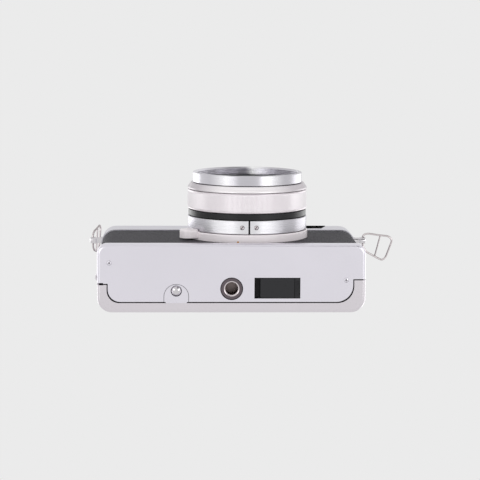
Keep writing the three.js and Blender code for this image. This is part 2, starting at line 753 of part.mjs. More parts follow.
// Latch bar: two noses hold the door's free edge, and the rewind knob lifts the bar.
const latchFrontY = doorRightFrontY + latchSetback;
const latchBackY = latchFrontY + latchWidth;
const nose = (z) => box(latchX, latchX + latchNose[0], latchFrontY, latchBackY, z, z + latchNose[1]);
const latchBar = box(latchX, latchX + latchThickness, latchFrontY, latchBackY, latchBottomZ, latchTopZ)
  .add(nose(latchBottomZ + latchNoseInset[0]))
  .add(nose(latchTopZ - latchNoseInset[1]));
addPiece(camera, 'latch_bar', latchBar, darkSteel);

// Strap lugs: drilled posts through the ends of the top cover.
const lugInnerX = halfLength - chassisInset + fit;
const lug = (side) => {
  const post = side > 0
    ? rod('x', lugRadius, lugInnerX, lugTipX, [lugY, lugZ], 24)
    : rod('x', lugRadius, -lugTipX, -lugInnerX, [lugY, lugZ], 24);
  return post.subtract(rod('y', lugHoleRadius, -big, big, [side * lugHoleX, lugZ], 20));
};
addPiece(camera, 'strap_lug_left', lug(-1), brightChrome);
addPiece(camera, 'strap_lug_right', lug(1), brightChrome);

// Strap rings: a bent wire through the lug's hole with a bar across, drawn about the hole.
// lean is how far the loop drifts sideways for each millimetre away from the lug.
const strapRing = (lean) => {
  const leaning = ([x, y]) => new THREE.Vector2(x, y + lean * x);
  const corners = ringCorners.map(leaning);
  const middle = leaning(ringMiddle);
  const drawnIn = (point) => point.clone().add(middle.clone().sub(point).setLength(wireCore));
  const loop = new THREE.Shape(corners);
  loop.holes.push(new THREE.Path(corners.map(drawnIn)));
  const round = wireRadius - wireCore / 2;
  const geometry = new THREE.ExtrudeGeometry(loop, {
    depth: wireCore,
    bevelEnabled: true,
    bevelThickness: round,
    bevelSize: round,
    bevelSegments: 2,
  });
  geometry.translate(0, 0, -wireCore / 2);
  const bar = new THREE.CylinderGeometry(wireRadius, wireRadius, ringBarLength, 8);
  bar.rotateZ(Math.atan2(ringBarRun[1], ringBarRun[0] - lean * ringBarRun[1]));
  const barMiddle = leaning(ringBarMiddle);
  bar.translate(barMiddle.x, barMiddle.y, 0);
  return toSolid(geometry).add(toSolid(bar));
};
const ringRight = new THREE.Group();
ringRight.position.set(lugHoleX, lugY, lugZ);
camera.add(ringRight);
addPiece(ringRight, 'strap_ring_right', strapRing(0.36), brightChrome);
const ringLeft = new THREE.Group();
ringLeft.position.set(-lugHoleX, lugY, lugZ);
ringLeft.rotation.y = THREE.MathUtils.degToRad(leftRingTilt - 90);
camera.add(ringLeft);
addPiece(ringLeft, 'strap_ring_left', strapRing(0.06), brightChrome);

// ---- Bottom fittings ---------------------------------------------------------------------

// Tripod socket: a flanged bush in the chassis, flush with the bottom plate.
const tripodSocket = turned([
  [socketBoreRadius, socketDepth - socketFloor],
  [socketBoreRadius, socketChamfer],
  [socketBoreRadius + socketChamfer, 0],
  [socketFlangeRadius, 0],
  [socketFlangeRadius, sheet],
  [socketBodyRadius, sheet + socketShoulder],
  [socketBodyRadius, socketDepth],
  [0, socketDepth],
  [0, socketDepth - socketFloor],
  [socketBoreRadius, socketDepth - socketFloor],
], 'z', 28);
const socketPlace = new THREE.Group();
socketPlace.position.set(socketX, socketY, 0);
camera.add(socketPlace);
addPiece(socketPlace, 'tripod_socket', tripodSocket, darkSteel);

// Plate screws: a countersunk head and a shank, with a cross slot.
const plateScrew = () => {
  const [faceZ, rimZ, neckZ] = plateScrewHead;
  const [slotLength, slotWidth, slotDepth] = plateScrewSlot;
  const head = turned([
    [0, faceZ],
    [plateScrewRadius, faceZ],
    [plateScrewRadius, rimZ],
    [plateScrewShank, neckZ],
    [plateScrewShank, plateScrewLength],
    [0, plateScrewLength],
  ], 'z', 20);
  return head
    .subtract(box(-slotLength / 2, slotLength / 2, -slotWidth / 2, slotWidth / 2, -past, slotDepth))
    .subtract(box(-slotWidth / 2, slotWidth / 2, -slotLength / 2, slotLength / 2, -past, slotDepth));
};
[['plate_screw_left', leftScrew], ['plate_screw_right', rightScrew]].forEach(([name, place]) => {
  const seat = new THREE.Group();
  seat.position.set(place[0], place[1], 0);
  camera.add(seat);
  addPiece(seat, name, plateScrew(), darkSteel);
});

// Rewind release: a domed button in a D-shaped seat that fills a notch of the plate.
const releaseSeat = prism(releaseSeatShape(0), 0, sheet, 16)
  .intersect(plateArea)
  .subtract(rod('z', releaseRadius + fit, -past, past, [releaseX, releaseY], 28));
addPiece(camera, 'release_button_seat', releaseSeat, satinChrome);
const releaseButton = turned([
  [0, releaseDome[0]],
  [releaseRadius * 0.45, releaseDome[1]],
  [releaseRadius * 0.8, releaseDome[2]],
  [releaseRadius, releaseDome[3]],
  [releaseRadius, releaseTopZ],
  [0, releaseTopZ],
], 'z', 28);
const release = new THREE.Group();
release.position.set(releaseX, releaseY, 0);
camera.add(release);
addPiece(release, 'rewind_release_button', releaseButton, brightChrome);

// Battery: a moulded chamber, a button cell on edge, its contact and the sliding cover.
const cellFrontY = batteryCentreY - cellThickness / 2;
const cellBackY = batteryCentreY + cellThickness / 2;
const cellPocket = box(cellX - cellRadius - fit, cellX + cellRadius + fit, cellFrontY - fit, cellBackY + fit,
  0, cellPocketTopZ);
const batteryChamber = chamberBlock(0, batteryChamberBottomZ).subtract(cellPocket);
addPiece(camera, 'battery_chamber', batteryChamber, blackPlastic);
const buttonCell = rod('y', cellRadius, cellFrontY, cellBackY, [cellX, cellZ], 36);
addPiece(camera, 'button_cell', buttonCell, brightChrome);
const [contactLength, contactWidth, contactThickness] = contactSize;
const contact = box(cellX - contactLength / 2, cellX + contactLength / 2, batteryCentreY - contactWidth / 2,
  batteryCentreY + contactWidth / 2, contactZ, contactZ + contactThickness);
addPiece(camera, 'battery_contact', contact, brass);
const coverLeftX = batteryLeftX + batteryCoverSlide + fit;
const coverGripX = batteryRightX - batteryGripWidth;
const grooveHalf = batteryGroove[0] / 2;
const grooveTopZ = batteryCoverSink + batteryGroove[1];
const batteryCover = box(coverLeftX, batteryRightX - fit, batteryFrontY + fit, batteryBackY - fit,
  batteryCoverSink, batteryCoverSink + batteryCoverThickness)
  .subtract(box(coverGripX - grooveHalf, coverGripX + grooveHalf, -big, big, -past, grooveTopZ));
addPiece(camera, 'battery_cover', batteryCover, blackPlastic);

// ---- Lens --------------------------------------------------------------------------------

// Pieces of the lens are drawn about its own axis; y is still measured in the camera's frame.
const lens = new THREE.Group();
lens.position.set(lensX, 0, lensZ);
camera.add(lens);
const station = (forward) => bodyFrontY - forward;
const gap = fit / 2;
const ringBore = barrelRadius + fit;
const barrelFrontY = station(focusFront - fit);
const barrelBore = barrelRadius - barrelWall;

// Barrel: a flange on the chassis front and the fixed tube that carries the rings.
const flangeBackY = chassisFrontY - fit;
const flangeFrontY = station(fit);
const lensBarrel = turned([
  [barrelBore, flangeBackY],
  [barrelFlangeRadius, flangeBackY],
  [barrelFlangeRadius, flangeFrontY],
  [barrelRadius, flangeFrontY],
  [barrelRadius, barrelFrontY],
  [barrelBore, barrelFrontY],
  [barrelBore, flangeBackY],
]);
addPiece(lens, 'lens_barrel', lensBarrel, blackAnodised);

// Base ring with a finger tab, which turns to wind the self-timer.
const flangeBore = barrelFlangeRadius + fit;
const baseRingBody = turned([
  [flangeBore, flangeBackY],
  [baseRingRadius, flangeBackY],
  [baseRingRadius, station(baseRingFront)],
  [ringBore, station(baseRingFront)],
  [ringBore, flangeFrontY - fit],
  [flangeBore, flangeFrontY - fit],
  [flangeBore, flangeBackY],
]);
const tabShape = new THREE.Shape();
tabShape.moveTo(baseRingRadius - tabRoot, -tabWidth / 2);
tabShape.lineTo(tabReach - tabCorner, -tabWidth / 2);
tabShape.lineTo(tabReach, -tabWidth / 2 + tabCorner);
tabShape.lineTo(tabReach, tabWidth / 2 - tabCorner);
tabShape.lineTo(tabReach - tabCorner, tabWidth / 2);
tabShape.lineTo(baseRingRadius - tabRoot, tabWidth / 2);
tabShape.closePath();
const tabGeometry = new THREE.ExtrudeGeometry(tabShape, { depth: tabFront - tabBack, bevelEnabled: false });
tabGeometry.rotateX(Math.PI / 2);
tabGeometry.translate(0, station(tabBack), 0);
tabGeometry.rotateY(-THREE.MathUtils.degToRad(tabAngle));
const tabClearance = rod('y', shroudRadius + runningFit, station(tabFront + past), station(baseRingFront),
  [0, 0], 36);
const baseRing = baseRingBody.add(toSolid(tabGeometry).subtract(tabClearance));
addPiece(lens, 'base_ring', baseRing, anodised);

// Shroud ring: a split clamp ring with a screw on each side of its gap.
const shroudBackY = station(baseRingFront) - fit;
const shroudFrontY = station(shroudFront) + gap;
const screwY = (shroudBackY + shroudFrontY) / 2;
const screwHeadZ = clampScrewSink - Math.sqrt(shroudRadius ** 2 - (clampScrewSpacing / 2) ** 2);
const screwBottomZ = screwHeadZ + clampScrewLength;
const [clampSlotLength, clampSlotWidth, clampSlotDepth] = clampSlot;
let shroud = ring(ringBore, shroudRadius, shroudFrontY, shroudBackY)
  .subtract(box(-shroudSlotWidth / 2, shroudSlotWidth / 2, -big, big, -big, 0));
[-1, 1].forEach((side) => {
  const place = [side * clampScrewSpacing / 2, screwY];
  shroud = shroud.subtract(rod('z', clampScrewRadius + clampScrewGap, -big, screwBottomZ + fit, place, 20));
  const name = side < 0 ? 'clamp_screw_left' : 'clamp_screw_right';
  const screw = rod('z', clampScrewRadius, screwHeadZ, screwBottomZ, place, 20)
    .subtract(box(place[0] - clampSlotLength / 2, place[0] + clampSlotLength / 2, screwY - clampSlotWidth / 2,
      screwY + clampSlotWidth / 2, -big, screwHeadZ + clampSlotDepth));
  addPiece(lens, name, screw, darkSteel);
});
addPiece(lens, 'shroud_ring', shroud, satinChrome);
const indexBand = ring(ringBore, bandRadius, station(bandFront) + gap, station(shroudFront) - gap);
addPiece(lens, 'index_band', indexBand, blackAnodised);

// Focus ring: the knurled ring that moves the lens unit in and out.
const focusBackY = station(bandFront) - gap;
const focusFrontY = station(focusFront) + gap;
const focusRing = turned([
  [ringBore, focusBackY],
  [focusRadius - focusChamfer, focusBackY],
  [focusRadius, focusBackY - focusChamfer],
  [focusRadius, focusFrontY + focusChamfer],
  [focusRadius - focusChamfer, focusFrontY],
  [ringBore, focusFrontY],
  [ringBore, focusBackY],
]);
addPiece(lens, 'focus_ring', focusRing, anodised);

// Lens unit: the cell with its front hub, and what the cell carries.
const lensUnit = new THREE.Group();
lens.add(lensUnit);
const hubBackY = station(focusFront) - gap;
const hubFrontY = station(bevelFront) + gap;
const cellRearY = bodyFrontY + cellRearReach;
const glassSeatY = hubFrontY + glassSeatDepth;
const shutterBackY = station(shutterBack);
const shutterFrontY = station(shutterFront);
const lensCell = turned([
  [cellInnerRadius, cellRearY],
  [cellTubeRadius, cellRearY],
  [cellTubeRadius, hubBackY],
  [cellHubRadius, hubBackY],
  [cellHubRadius, hubFrontY],
  [cellInnerRadius, hubFrontY],
  [cellInnerRadius, cellRearY],
]);
addPiece(lensUnit, 'lens_cell', lensCell, blackAnodised);
const shutterBlock = turned([
  [shutterOpeningRadius, shutterBackY],
  [cellInnerRadius - fit, shutterBackY],
  [cellInnerRadius - fit, shutterFrontY],
  [shutterFunnelRadius, shutterFrontY],
  [shutterOpeningRadius, shutterBackY - bladeThickness],
  [shutterOpeningRadius, shutterBackY],
]);
addPiece(lensUnit, 'shutter_block', shutterBlock, blackAnodised);
const domeProfile = (radius, backY, edgeY, bulge, steps) => {
  const profile = [[0, backY], [radius, backY]];
  for (let i = 0; i <= steps; i += 1) {
    const share = 1 - i / steps;
    profile.push([radius * share, edgeY - bulge * (1 - share * share)]);
  }
  return profile;
};
const glassRadius = cellInnerRadius - fit;
const glassProfile = domeProfile(glassRadius, glassSeatY, hubFrontY + glassEdgeDrop, glassBulge, 5);
addPiece(lensUnit, 'front_glass', turned(glassProfile, 'y', 32), glass);

// Bevel ring: the aperture ring on the front hub.
const bevelBackY = station(focusFront) - gap;
const bevelFrontY = station(bevelFront) + gap;
const bevelRing = turned([
  [cellHubRadius + fit, bevelBackY],
  [focusRadius, bevelBackY],
  [focusRadius, bevelBackY - bevelLand],
  [bevelFrontRadius, bevelFrontY],
  [cellHubRadius + fit, bevelFrontY],
  [cellHubRadius + fit, bevelBackY],
]);
addPiece(lensUnit, 'bevel_ring', bevelRing, anodised);

// Filter ring: a thin rim with a floor that screws on the front hub.
const filterBackY = station(bevelFront) - gap;
const filterFrontY = station(filterFront);
const filterFloorY = filterFrontY + filterDepth;
const nameRingBackY = filterFloorY + nameRingThickness;
const filterSeatY = nameRingBackY + fit;
const filterSeatRadius = nameRingInnerRadius + filterFloorWidth;
const filterRing = turned([
  [filterSeatRadius, filterBackY],
  [filterRadius, filterBackY],
  [filterRadius, filterFrontY + filterChamfer],
  [filterRadius - filterChamfer, filterFrontY],
  [filterInnerRadius + filterChamfer, filterFrontY],
  [filterInnerRadius, filterFrontY + filterChamfer],
  [filterInnerRadius, filterSeatY],
  [filterSeatRadius, filterSeatY],
  [filterSeatRadius, filterBackY],
]);
addPiece(lensUnit, 'filter_ring', filterRing, satinChrome);
const meterPlace = [0, (nameRingInnerRadius + filterInnerRadius) / 2];
const nameRing = turned([
  [nameRingInnerRadius, nameRingBackY],
  [filterInnerRadius - fit, nameRingBackY],
  [filterInnerRadius - fit, filterFloorY],
  [nameRingInnerRadius + nameRingSlope, filterFloorY],
  [nameRingInnerRadius, nameRingBackY - nameRingLip],
  [nameRingInnerRadius, nameRingBackY],
]).subtract(rod('y', meterWindowRadius + meterWindowGap, -big, big, meterPlace, 20));
addPiece(lensUnit, 'inner_ring', nameRing, blackAnodised);
const meterFrontY = filterFloorY - meterWindowProud;
const meterWindow = rod('y', meterWindowRadius, meterFrontY, nameRingBackY, meterPlace, 20);
addPiece(lensUnit, 'meter_window', meterWindow, glass);

// ---- Finder ------------------------------------------------------------------------------

// Window panel: the black front of the finder, with three panes let into it.
const panelFrontY = bodyFrontY - panelProud;
const panelBackY = panelFrontY + panelThickness;
const paneFrontY = panelFrontY + paneSink;
const windowBox = (x, z, [width, height], grow, y0, y1) => {
  return box(x - width / 2 - grow, x + width / 2 + grow, y0, y1,
    z - height / 2 - grow, z + height / 2 + grow);
};
const windows = [
  ['viewfinder_window', finderX, finderZ, finderWindow],
  ['illumination_window', illuminationX, smallWindowZ, illuminationWindow],
  ['rangefinder_window', rangeX, smallWindowZ, rangeWindow],
];
const panelHoleRadius = baseRingRadius + 2 * fit;
const panelLensHole = rod('y', panelHoleRadius, -big, bodyFrontY + lensHoleDepth, [lensX, lensZ], 36);
let windowPanel = panelSlab(-fit, panelFrontY, panelBackY).subtract(panelLensHole);
windows.forEach(([name, x, z, size]) => {
  windowPanel = windowPanel.subtract(windowBox(x, z, size, fit, -big, big));
  addPiece(camera, name, windowBox(x, z, size, 0, paneFrontY, paneFrontY + paneThickness), glass);
});
addPiece(camera, 'window_panel', windowPanel, blackGloss);

// Viewfinder block: the optical box between the front window and the eyepiece.
const eyepieceFrontY = bodyBackY - eyepieceDepth;
const finderBottomZ = chassisTopZ + fit;
const finderTopZ = coverTopZ - sheet - finderBlockTopGap;
const [finderSideWall, finderFloor] = finderBlockWalls;
const finderBlockHalf = finderBlockWidth / 2;
const finderTunnelHalf = finderBlockHalf - finderSideWall;
const finderTunnel = box(finderX - finderTunnelHalf, finderX + finderTunnelHalf, -big, big,
  finderBottomZ + finderFloor, finderTopZ - finderFloor);
const finderBlock = box(finderX - finderBlockHalf, finderX + finderBlockHalf,
  chassisFrontY, eyepieceFrontY - fit, finderBottomZ, finderTopZ).subtract(finderTunnel);
addPiece(camera, 'viewfinder_block', finderBlock, castAlloy);

// Eyepiece: a black frame in the back of the top cover, with its glass.
const eyepieceFrame = eyepieceHole(-fit, eyepieceFrontY, bodyBackY)
  .subtract(eyepieceHole(-eyepieceRim, -big, big));
addPiece(camera, 'eyepiece_frame', eyepieceFrame, blackPlastic);
const glassFrontY = eyepieceFrontY + eyepieceGlassSink;
const eyepieceGlass = eyepieceHole(-eyepieceRim - fit, glassFrontY, glassFrontY + eyepieceGlassThickness);
addPiece(camera, 'eyepiece_glass', eyepieceGlass, glass);

// ---- Rewind ------------------------------------------------------------------------------

// The bushing lifts with the shaft, which also turns in it; the crank folds into the knob.
const rewind = new THREE.Group();
rewind.position.set(rewindX, rewindY, 0);
camera.add(rewind);
const knobTopZ = deckZ + knobHeight;
const slotFloorZ = knobTopZ - crankThickness - crankSink;
const shaftTopZ = slotFloorZ - knobFloor;
const bushingBottomZ = chassisTopZ + fit;
const bushing = turned([
  [shaftRadius + fit, bushingBottomZ],
  [bushingRadius, bushingBottomZ],
  [bushingRadius, coverTopZ],
  [shaftRadius + fit, coverTopZ],
  [shaftRadius + fit, bushingBottomZ],
], 'z', 28);
addPiece(rewind, 'rewind_bushing', bushing, brass);
const forkTopZ = chassisTopZ - forkDrop;
const forkBottomZ = forkTopZ - forkLength;
const [forkSlotWidth, forkSlotDepth] = forkSlot;
const rewindShaft = rod('z', shaftRadius, forkTopZ, shaftTopZ, [0, 0], 24)
  .add(rod('z', forkRadius, forkBottomZ, forkTopZ, [0, 0], 24))
  .subtract(box(-forkSlotWidth / 2, forkSlotWidth / 2, -big, big, 0, forkBottomZ + forkSlotDepth));
addPiece(rewind, 'rewind_shaft', rewindShaft, brightChrome);
const rewindKnob = turned([
  [0, shaftTopZ + fit],
  [shaftRadius + fit, shaftTopZ + fit],
  [shaftRadius + fit, deckZ],
  [knobRadius - knobChamfer, deckZ],
  [knobRadius, deckZ + knobChamfer],
  [knobRadius, knobTopZ - knobChamfer],
  [knobRadius - knobChamfer, knobTopZ],
  [0, knobTopZ],
], 'z', 36).subtract(box(-big, big, -crankWidth / 2 - fit, crankWidth / 2 + fit, slotFloorZ, big));
addPiece(rewind, 'rewind_knob', rewindKnob, satinChrome);
const crank = new THREE.Group();
crank.position.set(-crankPinOffset, 0, slotFloorZ + fit + crankThickness / 2);
rewind.add(crank);
const crankLength = crankPinOffset + crankReach;
const crankShape = roundedShape([
  [-crankTail, -crankWidth / 2],
  [crankLength, -crankWidth / 2, crankCorner],
  [crankLength, crankWidth / 2, crankCorner],
  [-crankTail, crankWidth / 2],
]);
const crankArm = prism(crankShape, -crankThickness / 2, crankThickness / 2);
const gripX = crankLength - crankGripRadius - crankGripInset;
const crankGrip = rod('z', crankGripRadius, -crankThickness / 2 - crankGripDepth, 0, [gripX, 0], 20);
addPiece(crank, 'crank_arm', crankArm.add(crankGrip), brightChrome);

// ---- Film advance ------------------------------------------------------------------------

const advance = new THREE.Group();
advance.position.set(advanceX, advanceY, 0);
camera.add(advance);
const leverBottomZ = deckZ + fit;
const shaftJointZ = chassisTopZ - shaftJointDepth;
const shoulderX = leverHubRadius + leverHubShoulder;
const leverTopZ = leverBottomZ + leverThickness;
const tipStart = leverReach - leverTipLength;
const leverShape = new THREE.Shape();
leverShape.moveTo(0, -leverHubRadius);
leverShape.quadraticCurveTo(leverHubRadius, -leverHubRadius, shoulderX, -leverWidth / 2);
leverShape.lineTo(tipStart - fit, -leverWidth / 2);
leverShape.lineTo(tipStart - fit, leverWidth / 2);
leverShape.lineTo(shoulderX, leverWidth / 2);
leverShape.quadraticCurveTo(leverHubRadius, leverHubRadius, 0, leverHubRadius);
leverShape.absarc(0, 0, leverHubRadius, Math.PI / 2, 1.5 * Math.PI, false);
const tongueHalf = tongueWidth / 2;
const tongueEndX = leverReach - tongueEndInset;
const tongue = box(tipStart - tongueRoot, tongueEndX, -tongueHalf, tongueHalf,
  leverBottomZ + tongueInset, leverTopZ - tongueInset);
const lever = prism(leverShape, leverBottomZ, leverTopZ, 10)
  .add(rod('z', leverCapRadius, leverBottomZ, leverTopZ + leverCapHeight, [0, 0], 28))
  .add(rod('z', shaftRadius, shaftJointZ, leverTopZ, [0, 0], 24))
  .add(tongue)
  .rotate([0, 0, leverRestAngle]);
addPiece(advance, 'advance_lever', lever, satinChrome);
const tipShape = roundedShape([
  [tipStart, -leverWidth / 2],
  [leverReach, -leverWidth / 2, leverTipCorners[0]],
  [leverReach, leverWidth / 2 + leverTipProud, leverTipCorners[1]],
  [tipStart, leverWidth / 2],
]);
const tonguePocket = box(0, tongueEndX + fit, -tongueHalf - fit, tongueHalf + fit,
  leverBottomZ + tongueInset - fit, leverTopZ - tongueInset + fit);
const leverTip = prism(tipShape, deckZ, leverTopZ + leverTipProud)
  .subtract(tonguePocket)
  .rotate([0, 0, leverRestAngle]);
addPiece(advance, 'lever_tip', leverTip, blackPlastic);

// Take-up spool, turned by the lever's shaft.
const spoolBottomZ = takeUpBottomZ + runningFit;
const spoolTopZ = takeUpTopZ - runningFit;
const shaftEndZ = shaftSeatZ + shaftEndGap;
const takeUpSpool = turned([
  [0, shaftEndZ],
  [shaftRadius, shaftEndZ],
  [shaftRadius, spoolBottomZ],
  [spoolFlangeRadius, spoolBottomZ],
  [spoolFlangeRadius, spoolBottomZ + spoolFlange],
  [spoolRadius, spoolBottomZ + spoolFlange],
  [spoolRadius, spoolTopZ - spoolFlange],
  [spoolFlangeRadius, spoolTopZ - spoolFlange],
  [spoolFlangeRadius, spoolTopZ],
  [shaftRadius, spoolTopZ],
  [shaftRadius, shaftJointZ - fit],
  [0, shaftJointZ - fit],
], 'z', 28);
addPiece(advance, 'take_up_spool', takeUpSpool, blackPlastic);

// Sprocket: two rows of teeth that the film's perforations ride on.
const sprocketGroup = new THREE.Group();
sprocketGroup.position.set(sprocketX, sprocketY, 0);
camera.add(sprocketGroup);
const sprocketTopZ = takeUpTopZ + sprocketTopSeat - shaftEndGap;
let sprocket = turned([
  [0, shaftEndZ],
  [shaftRadius, shaftEndZ],
  [shaftRadius, spoolBottomZ],
  [sprocketRadius, spoolBottomZ],
  [sprocketRadius, spoolTopZ],
  [shaftRadius, spoolTopZ],
  [shaftRadius, sprocketTopZ],
  [0, sprocketTopZ],
], 'z', 24);
[lensZ - perforationSpacing / 2, lensZ + perforationSpacing / 2].forEach((z) => {
  for (let i = 0; i < toothCount; i += 1) {
    const tooth = box(sprocketRadius - toothRoot, sprocketRadius + toothHeight,
      -toothWidth / 2, toothWidth / 2, z - toothWidth / 2, z + toothWidth / 2);
    sprocket = sprocket.add(tooth.rotate([0, 0, (i + 0.5) * 360 / toothCount]));
  }
});
addPiece(sprocketGroup, 'sprocket', sprocket, darkSteel);

// Frame counter: a dial on a post, read through a round window.
const counter = new THREE.Group();
counter.position.set(counterX, counterY, 0);
camera.add(counter);
const dialTopZ = coverTopZ - sheet - dialGap;
const dialBottomZ = dialTopZ - dialThickness;
const counterDial = turned([
  [0, chassisTopZ + fit],
  [dialPostRadius, chassisTopZ + fit],
  [dialPostRadius, dialBottomZ],
  [dialRadius, dialBottomZ],
  [dialRadius, dialTopZ],
  [0, dialTopZ],
], 'z', 28);
addPiece(counter, 'counter_dial', counterDial, blackPlastic);
const counterGlass = turned([
  [0, coverTopZ - sheet],
  [counterWindowRadius, coverTopZ - sheet],
  [counterWindowRadius, coverTopZ + counterWindowDome[0]],
  [counterWindowRadius - sheet, coverTopZ + counterWindowDome[1]],
  [0, coverTopZ + counterWindowDome[2]],
], 'z', 24);
const counterWindow = new THREE.Group();
counterWindow.position.set(0, -counterWindowOffset, 0);
counter.add(counterWindow);
addPiece(counterWindow, 'counter_window', counterGlass, glass);

// Shutter button in its collar; its stem reaches down towards the release.
const shutter = new THREE.Group();
shutter.position.set(shutterX, shutterY, 0);
camera.add(shutter);
const collarTopZ = deckZ + collarHeight;
const collarBore = shutterButtonRadius + fit;
const shutterCollar = turned([
  [collarBore, deckZ],
  [collarRadius, deckZ],
  [collarRadius - collarSlope, collarTopZ],
  [collarBore, collarTopZ],
  [collarBore, deckZ],
], 'z', 28);
addPiece(shutter, 'button_collar', shutterCollar, brightChrome);
const stemBottomZ = chassisTopZ + fit + shutterTravel;
const buttonTopZ = collarTopZ + shutterTravel + buttonProud;
const buttonSkirtZ = coverTopZ - shutterSkirt;
const [threadRadius, threadDepth] = releaseThread;
const shutterButton = turned([
  [0, stemBottomZ],
  [shutterStemRadius, stemBottomZ],
  [shutterStemRadius, buttonSkirtZ],
  [shutterButtonRadius, buttonSkirtZ],
  [shutterButtonRadius, buttonTopZ - shutterEdge[1]],
  [shutterButtonRadius - shutterEdge[0], buttonTopZ],
  [shutterDish[0], buttonTopZ - shutterDish[1]],
  [threadRadius, buttonTopZ - threadDepth],
  [0, buttonTopZ - threadDepth],
], 'z', 28);
addPiece(shutter, 'shutter_button', shutterButton, brightChrome);

// Hot shoe: a folded steel channel, open at the back, with its centre contact.
const shoe = new THREE.Group();
shoe.position.set(shoeX, shoeY, 0);
camera.add(shoe);
const shoeFloorZ = deckZ + shoeBase;
const shoeLipZ = shoeFloorZ + shoeSlot;
const shoeHalf = shoeWidth / 2;
const shoeEnd = shoeLength / 2;
const hotShoe = box(-shoeHalf, shoeHalf, -shoeEnd, shoeEnd, deckZ, shoeLipZ + shoeLipThickness)
  .subtract(box(-shoeHalf + shoeWall, shoeHalf - shoeWall, -shoeEnd + shoeWall, big, shoeFloorZ, shoeLipZ))
  .subtract(box(-shoeHalf + shoeLip, shoeHalf - shoeLip, -big, big, shoeFloorZ, big))
  .subtract(rod('z', shoeHoleRadius, 0, big, [0, 0], 20));
addPiece(shoe, 'hot_shoe', hotShoe, darkSteel);
const shoeContact = rod('z', shoeContactRadius, deckZ, shoeFloorZ + shoeContactProud, [0, 0], 20);
addPiece(shoe, 'hot_shoe_contact', shoeContact, brass);

// ---- Film pressure -----------------------------------------------------------------------

// Pressure plate on two studs of its leaf spring, carried by the door.
const pressure = new THREE.Group();
pressure.position.set(lensX, 0, lensZ);
door.add(pressure);
const plateFrontY = filmPlaneY + fit;
const plateBackY = plateFrontY + pressurePlateThickness;
const springFrontY = plateBackY + pressurePlateTravel + springGap;
const springBackY = doorInnerY - fit;
const pressurePlate = box(-pressurePlateWidth / 2, pressurePlateWidth / 2, plateFrontY, plateBackY,
  -pressurePlateHeight / 2, pressurePlateHeight / 2);
addPiece(pressure, 'pressure_plate', pressurePlate, blackAnodised);
const springHalf = springLength / 2;
const springRise = springHeight / 2;
const springArchY = springFrontY + springStep;
const plateSpring = box(-springHalf, springHalf, springArchY, springBackY, -springRise, springRise)
  .add(box(-springHalf, -springHalf + springFoot, springFrontY, springBackY, -springRise, springRise))
  .add(box(springHalf - springFoot, springHalf, springFrontY, springBackY, -springRise, springRise));
addPiece(pressure, 'plate_spring', plateSpring, darkSteel);

export default camera;
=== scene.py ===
# %% [markdown]
# # A compact 35 mm film camera, seen from below
# This notebook dresses the solid model of a small rangefinder camera with a fixed lens. The solid
# model is loaded first as a fixed frame: every new piece takes its place from it and rides on one of
# its moving bodies, so that the door, the rings, the crank and the lever still move.
# Lengths are in metres. Most are written in millimetres and multiplied by MM.

# %% Load the frame
import math
import bmesh
import bpy
from mathutils import Matrix, Vector


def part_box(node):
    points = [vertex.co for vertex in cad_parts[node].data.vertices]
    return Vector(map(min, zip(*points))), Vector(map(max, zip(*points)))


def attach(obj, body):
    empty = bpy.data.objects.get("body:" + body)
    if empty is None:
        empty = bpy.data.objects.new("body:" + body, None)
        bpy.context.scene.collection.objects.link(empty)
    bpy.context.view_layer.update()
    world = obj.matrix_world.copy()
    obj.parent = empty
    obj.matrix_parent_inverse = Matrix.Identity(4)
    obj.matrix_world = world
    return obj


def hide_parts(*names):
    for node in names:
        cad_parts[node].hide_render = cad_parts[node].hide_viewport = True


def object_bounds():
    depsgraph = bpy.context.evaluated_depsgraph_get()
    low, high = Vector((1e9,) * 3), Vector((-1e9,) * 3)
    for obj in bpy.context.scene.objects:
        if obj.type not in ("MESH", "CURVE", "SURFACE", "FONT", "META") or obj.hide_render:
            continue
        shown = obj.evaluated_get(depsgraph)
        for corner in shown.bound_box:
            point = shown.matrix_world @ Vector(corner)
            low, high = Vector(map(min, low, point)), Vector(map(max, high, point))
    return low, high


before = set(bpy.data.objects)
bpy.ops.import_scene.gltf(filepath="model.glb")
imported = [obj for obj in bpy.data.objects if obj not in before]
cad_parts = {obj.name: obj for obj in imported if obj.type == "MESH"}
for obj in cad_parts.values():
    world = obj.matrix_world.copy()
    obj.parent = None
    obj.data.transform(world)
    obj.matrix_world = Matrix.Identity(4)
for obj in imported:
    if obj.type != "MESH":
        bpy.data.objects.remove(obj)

MM = 0.001
cad_box = [list(corner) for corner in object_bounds()]
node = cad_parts


def box_mm(name):
    """The lower and the upper corner of a solid, in millimetres."""
    return [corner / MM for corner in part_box(name)]

# %% [markdown]
# ## Camera
# The camera stands almost under the object and looks up at its bottom plate, a little from the lens
# side. A long lens from most of a metre away keeps the perspective flat, as product pictures have it.
# The three directions are the camera's own axes, so no target object is needed.

# %% Camera
forward = Vector((0.03563, 0.12601, 0.99139)).normalized()
picture_down = Vector((0.00085, 0.99202, -0.12612))
right = picture_down.cross(forward).normalized()
up = right.cross(forward).normalized()
bpy.ops.object.camera_add()
camera = bpy.context.object
camera.name = "picture_camera"
turn = Matrix((right, up, -forward)).transposed().to_4x4()
camera.matrix_world = Matrix.Translation(Vector((-26.7, -122.25, -843.0)) * MM) @ turn
camera.data.lens = 142.85
camera.data.sensor_width = 36
camera.data.clip_start = 0.01
camera.data.clip_end = 20
bpy.context.scene.camera = camera
bpy.context.scene.view_settings.view_transform = "Standard"
print("camera looks along", [round(x, 3) for x in forward])

# %% [markdown]
# ## Colours and nodes
# A screen colour is written as a hex number, and one function turns it into the linear light that
# shaders use. A second small function adds a node, sets it and links it, so that each finish below
# reads as a short list of what the real surface does.

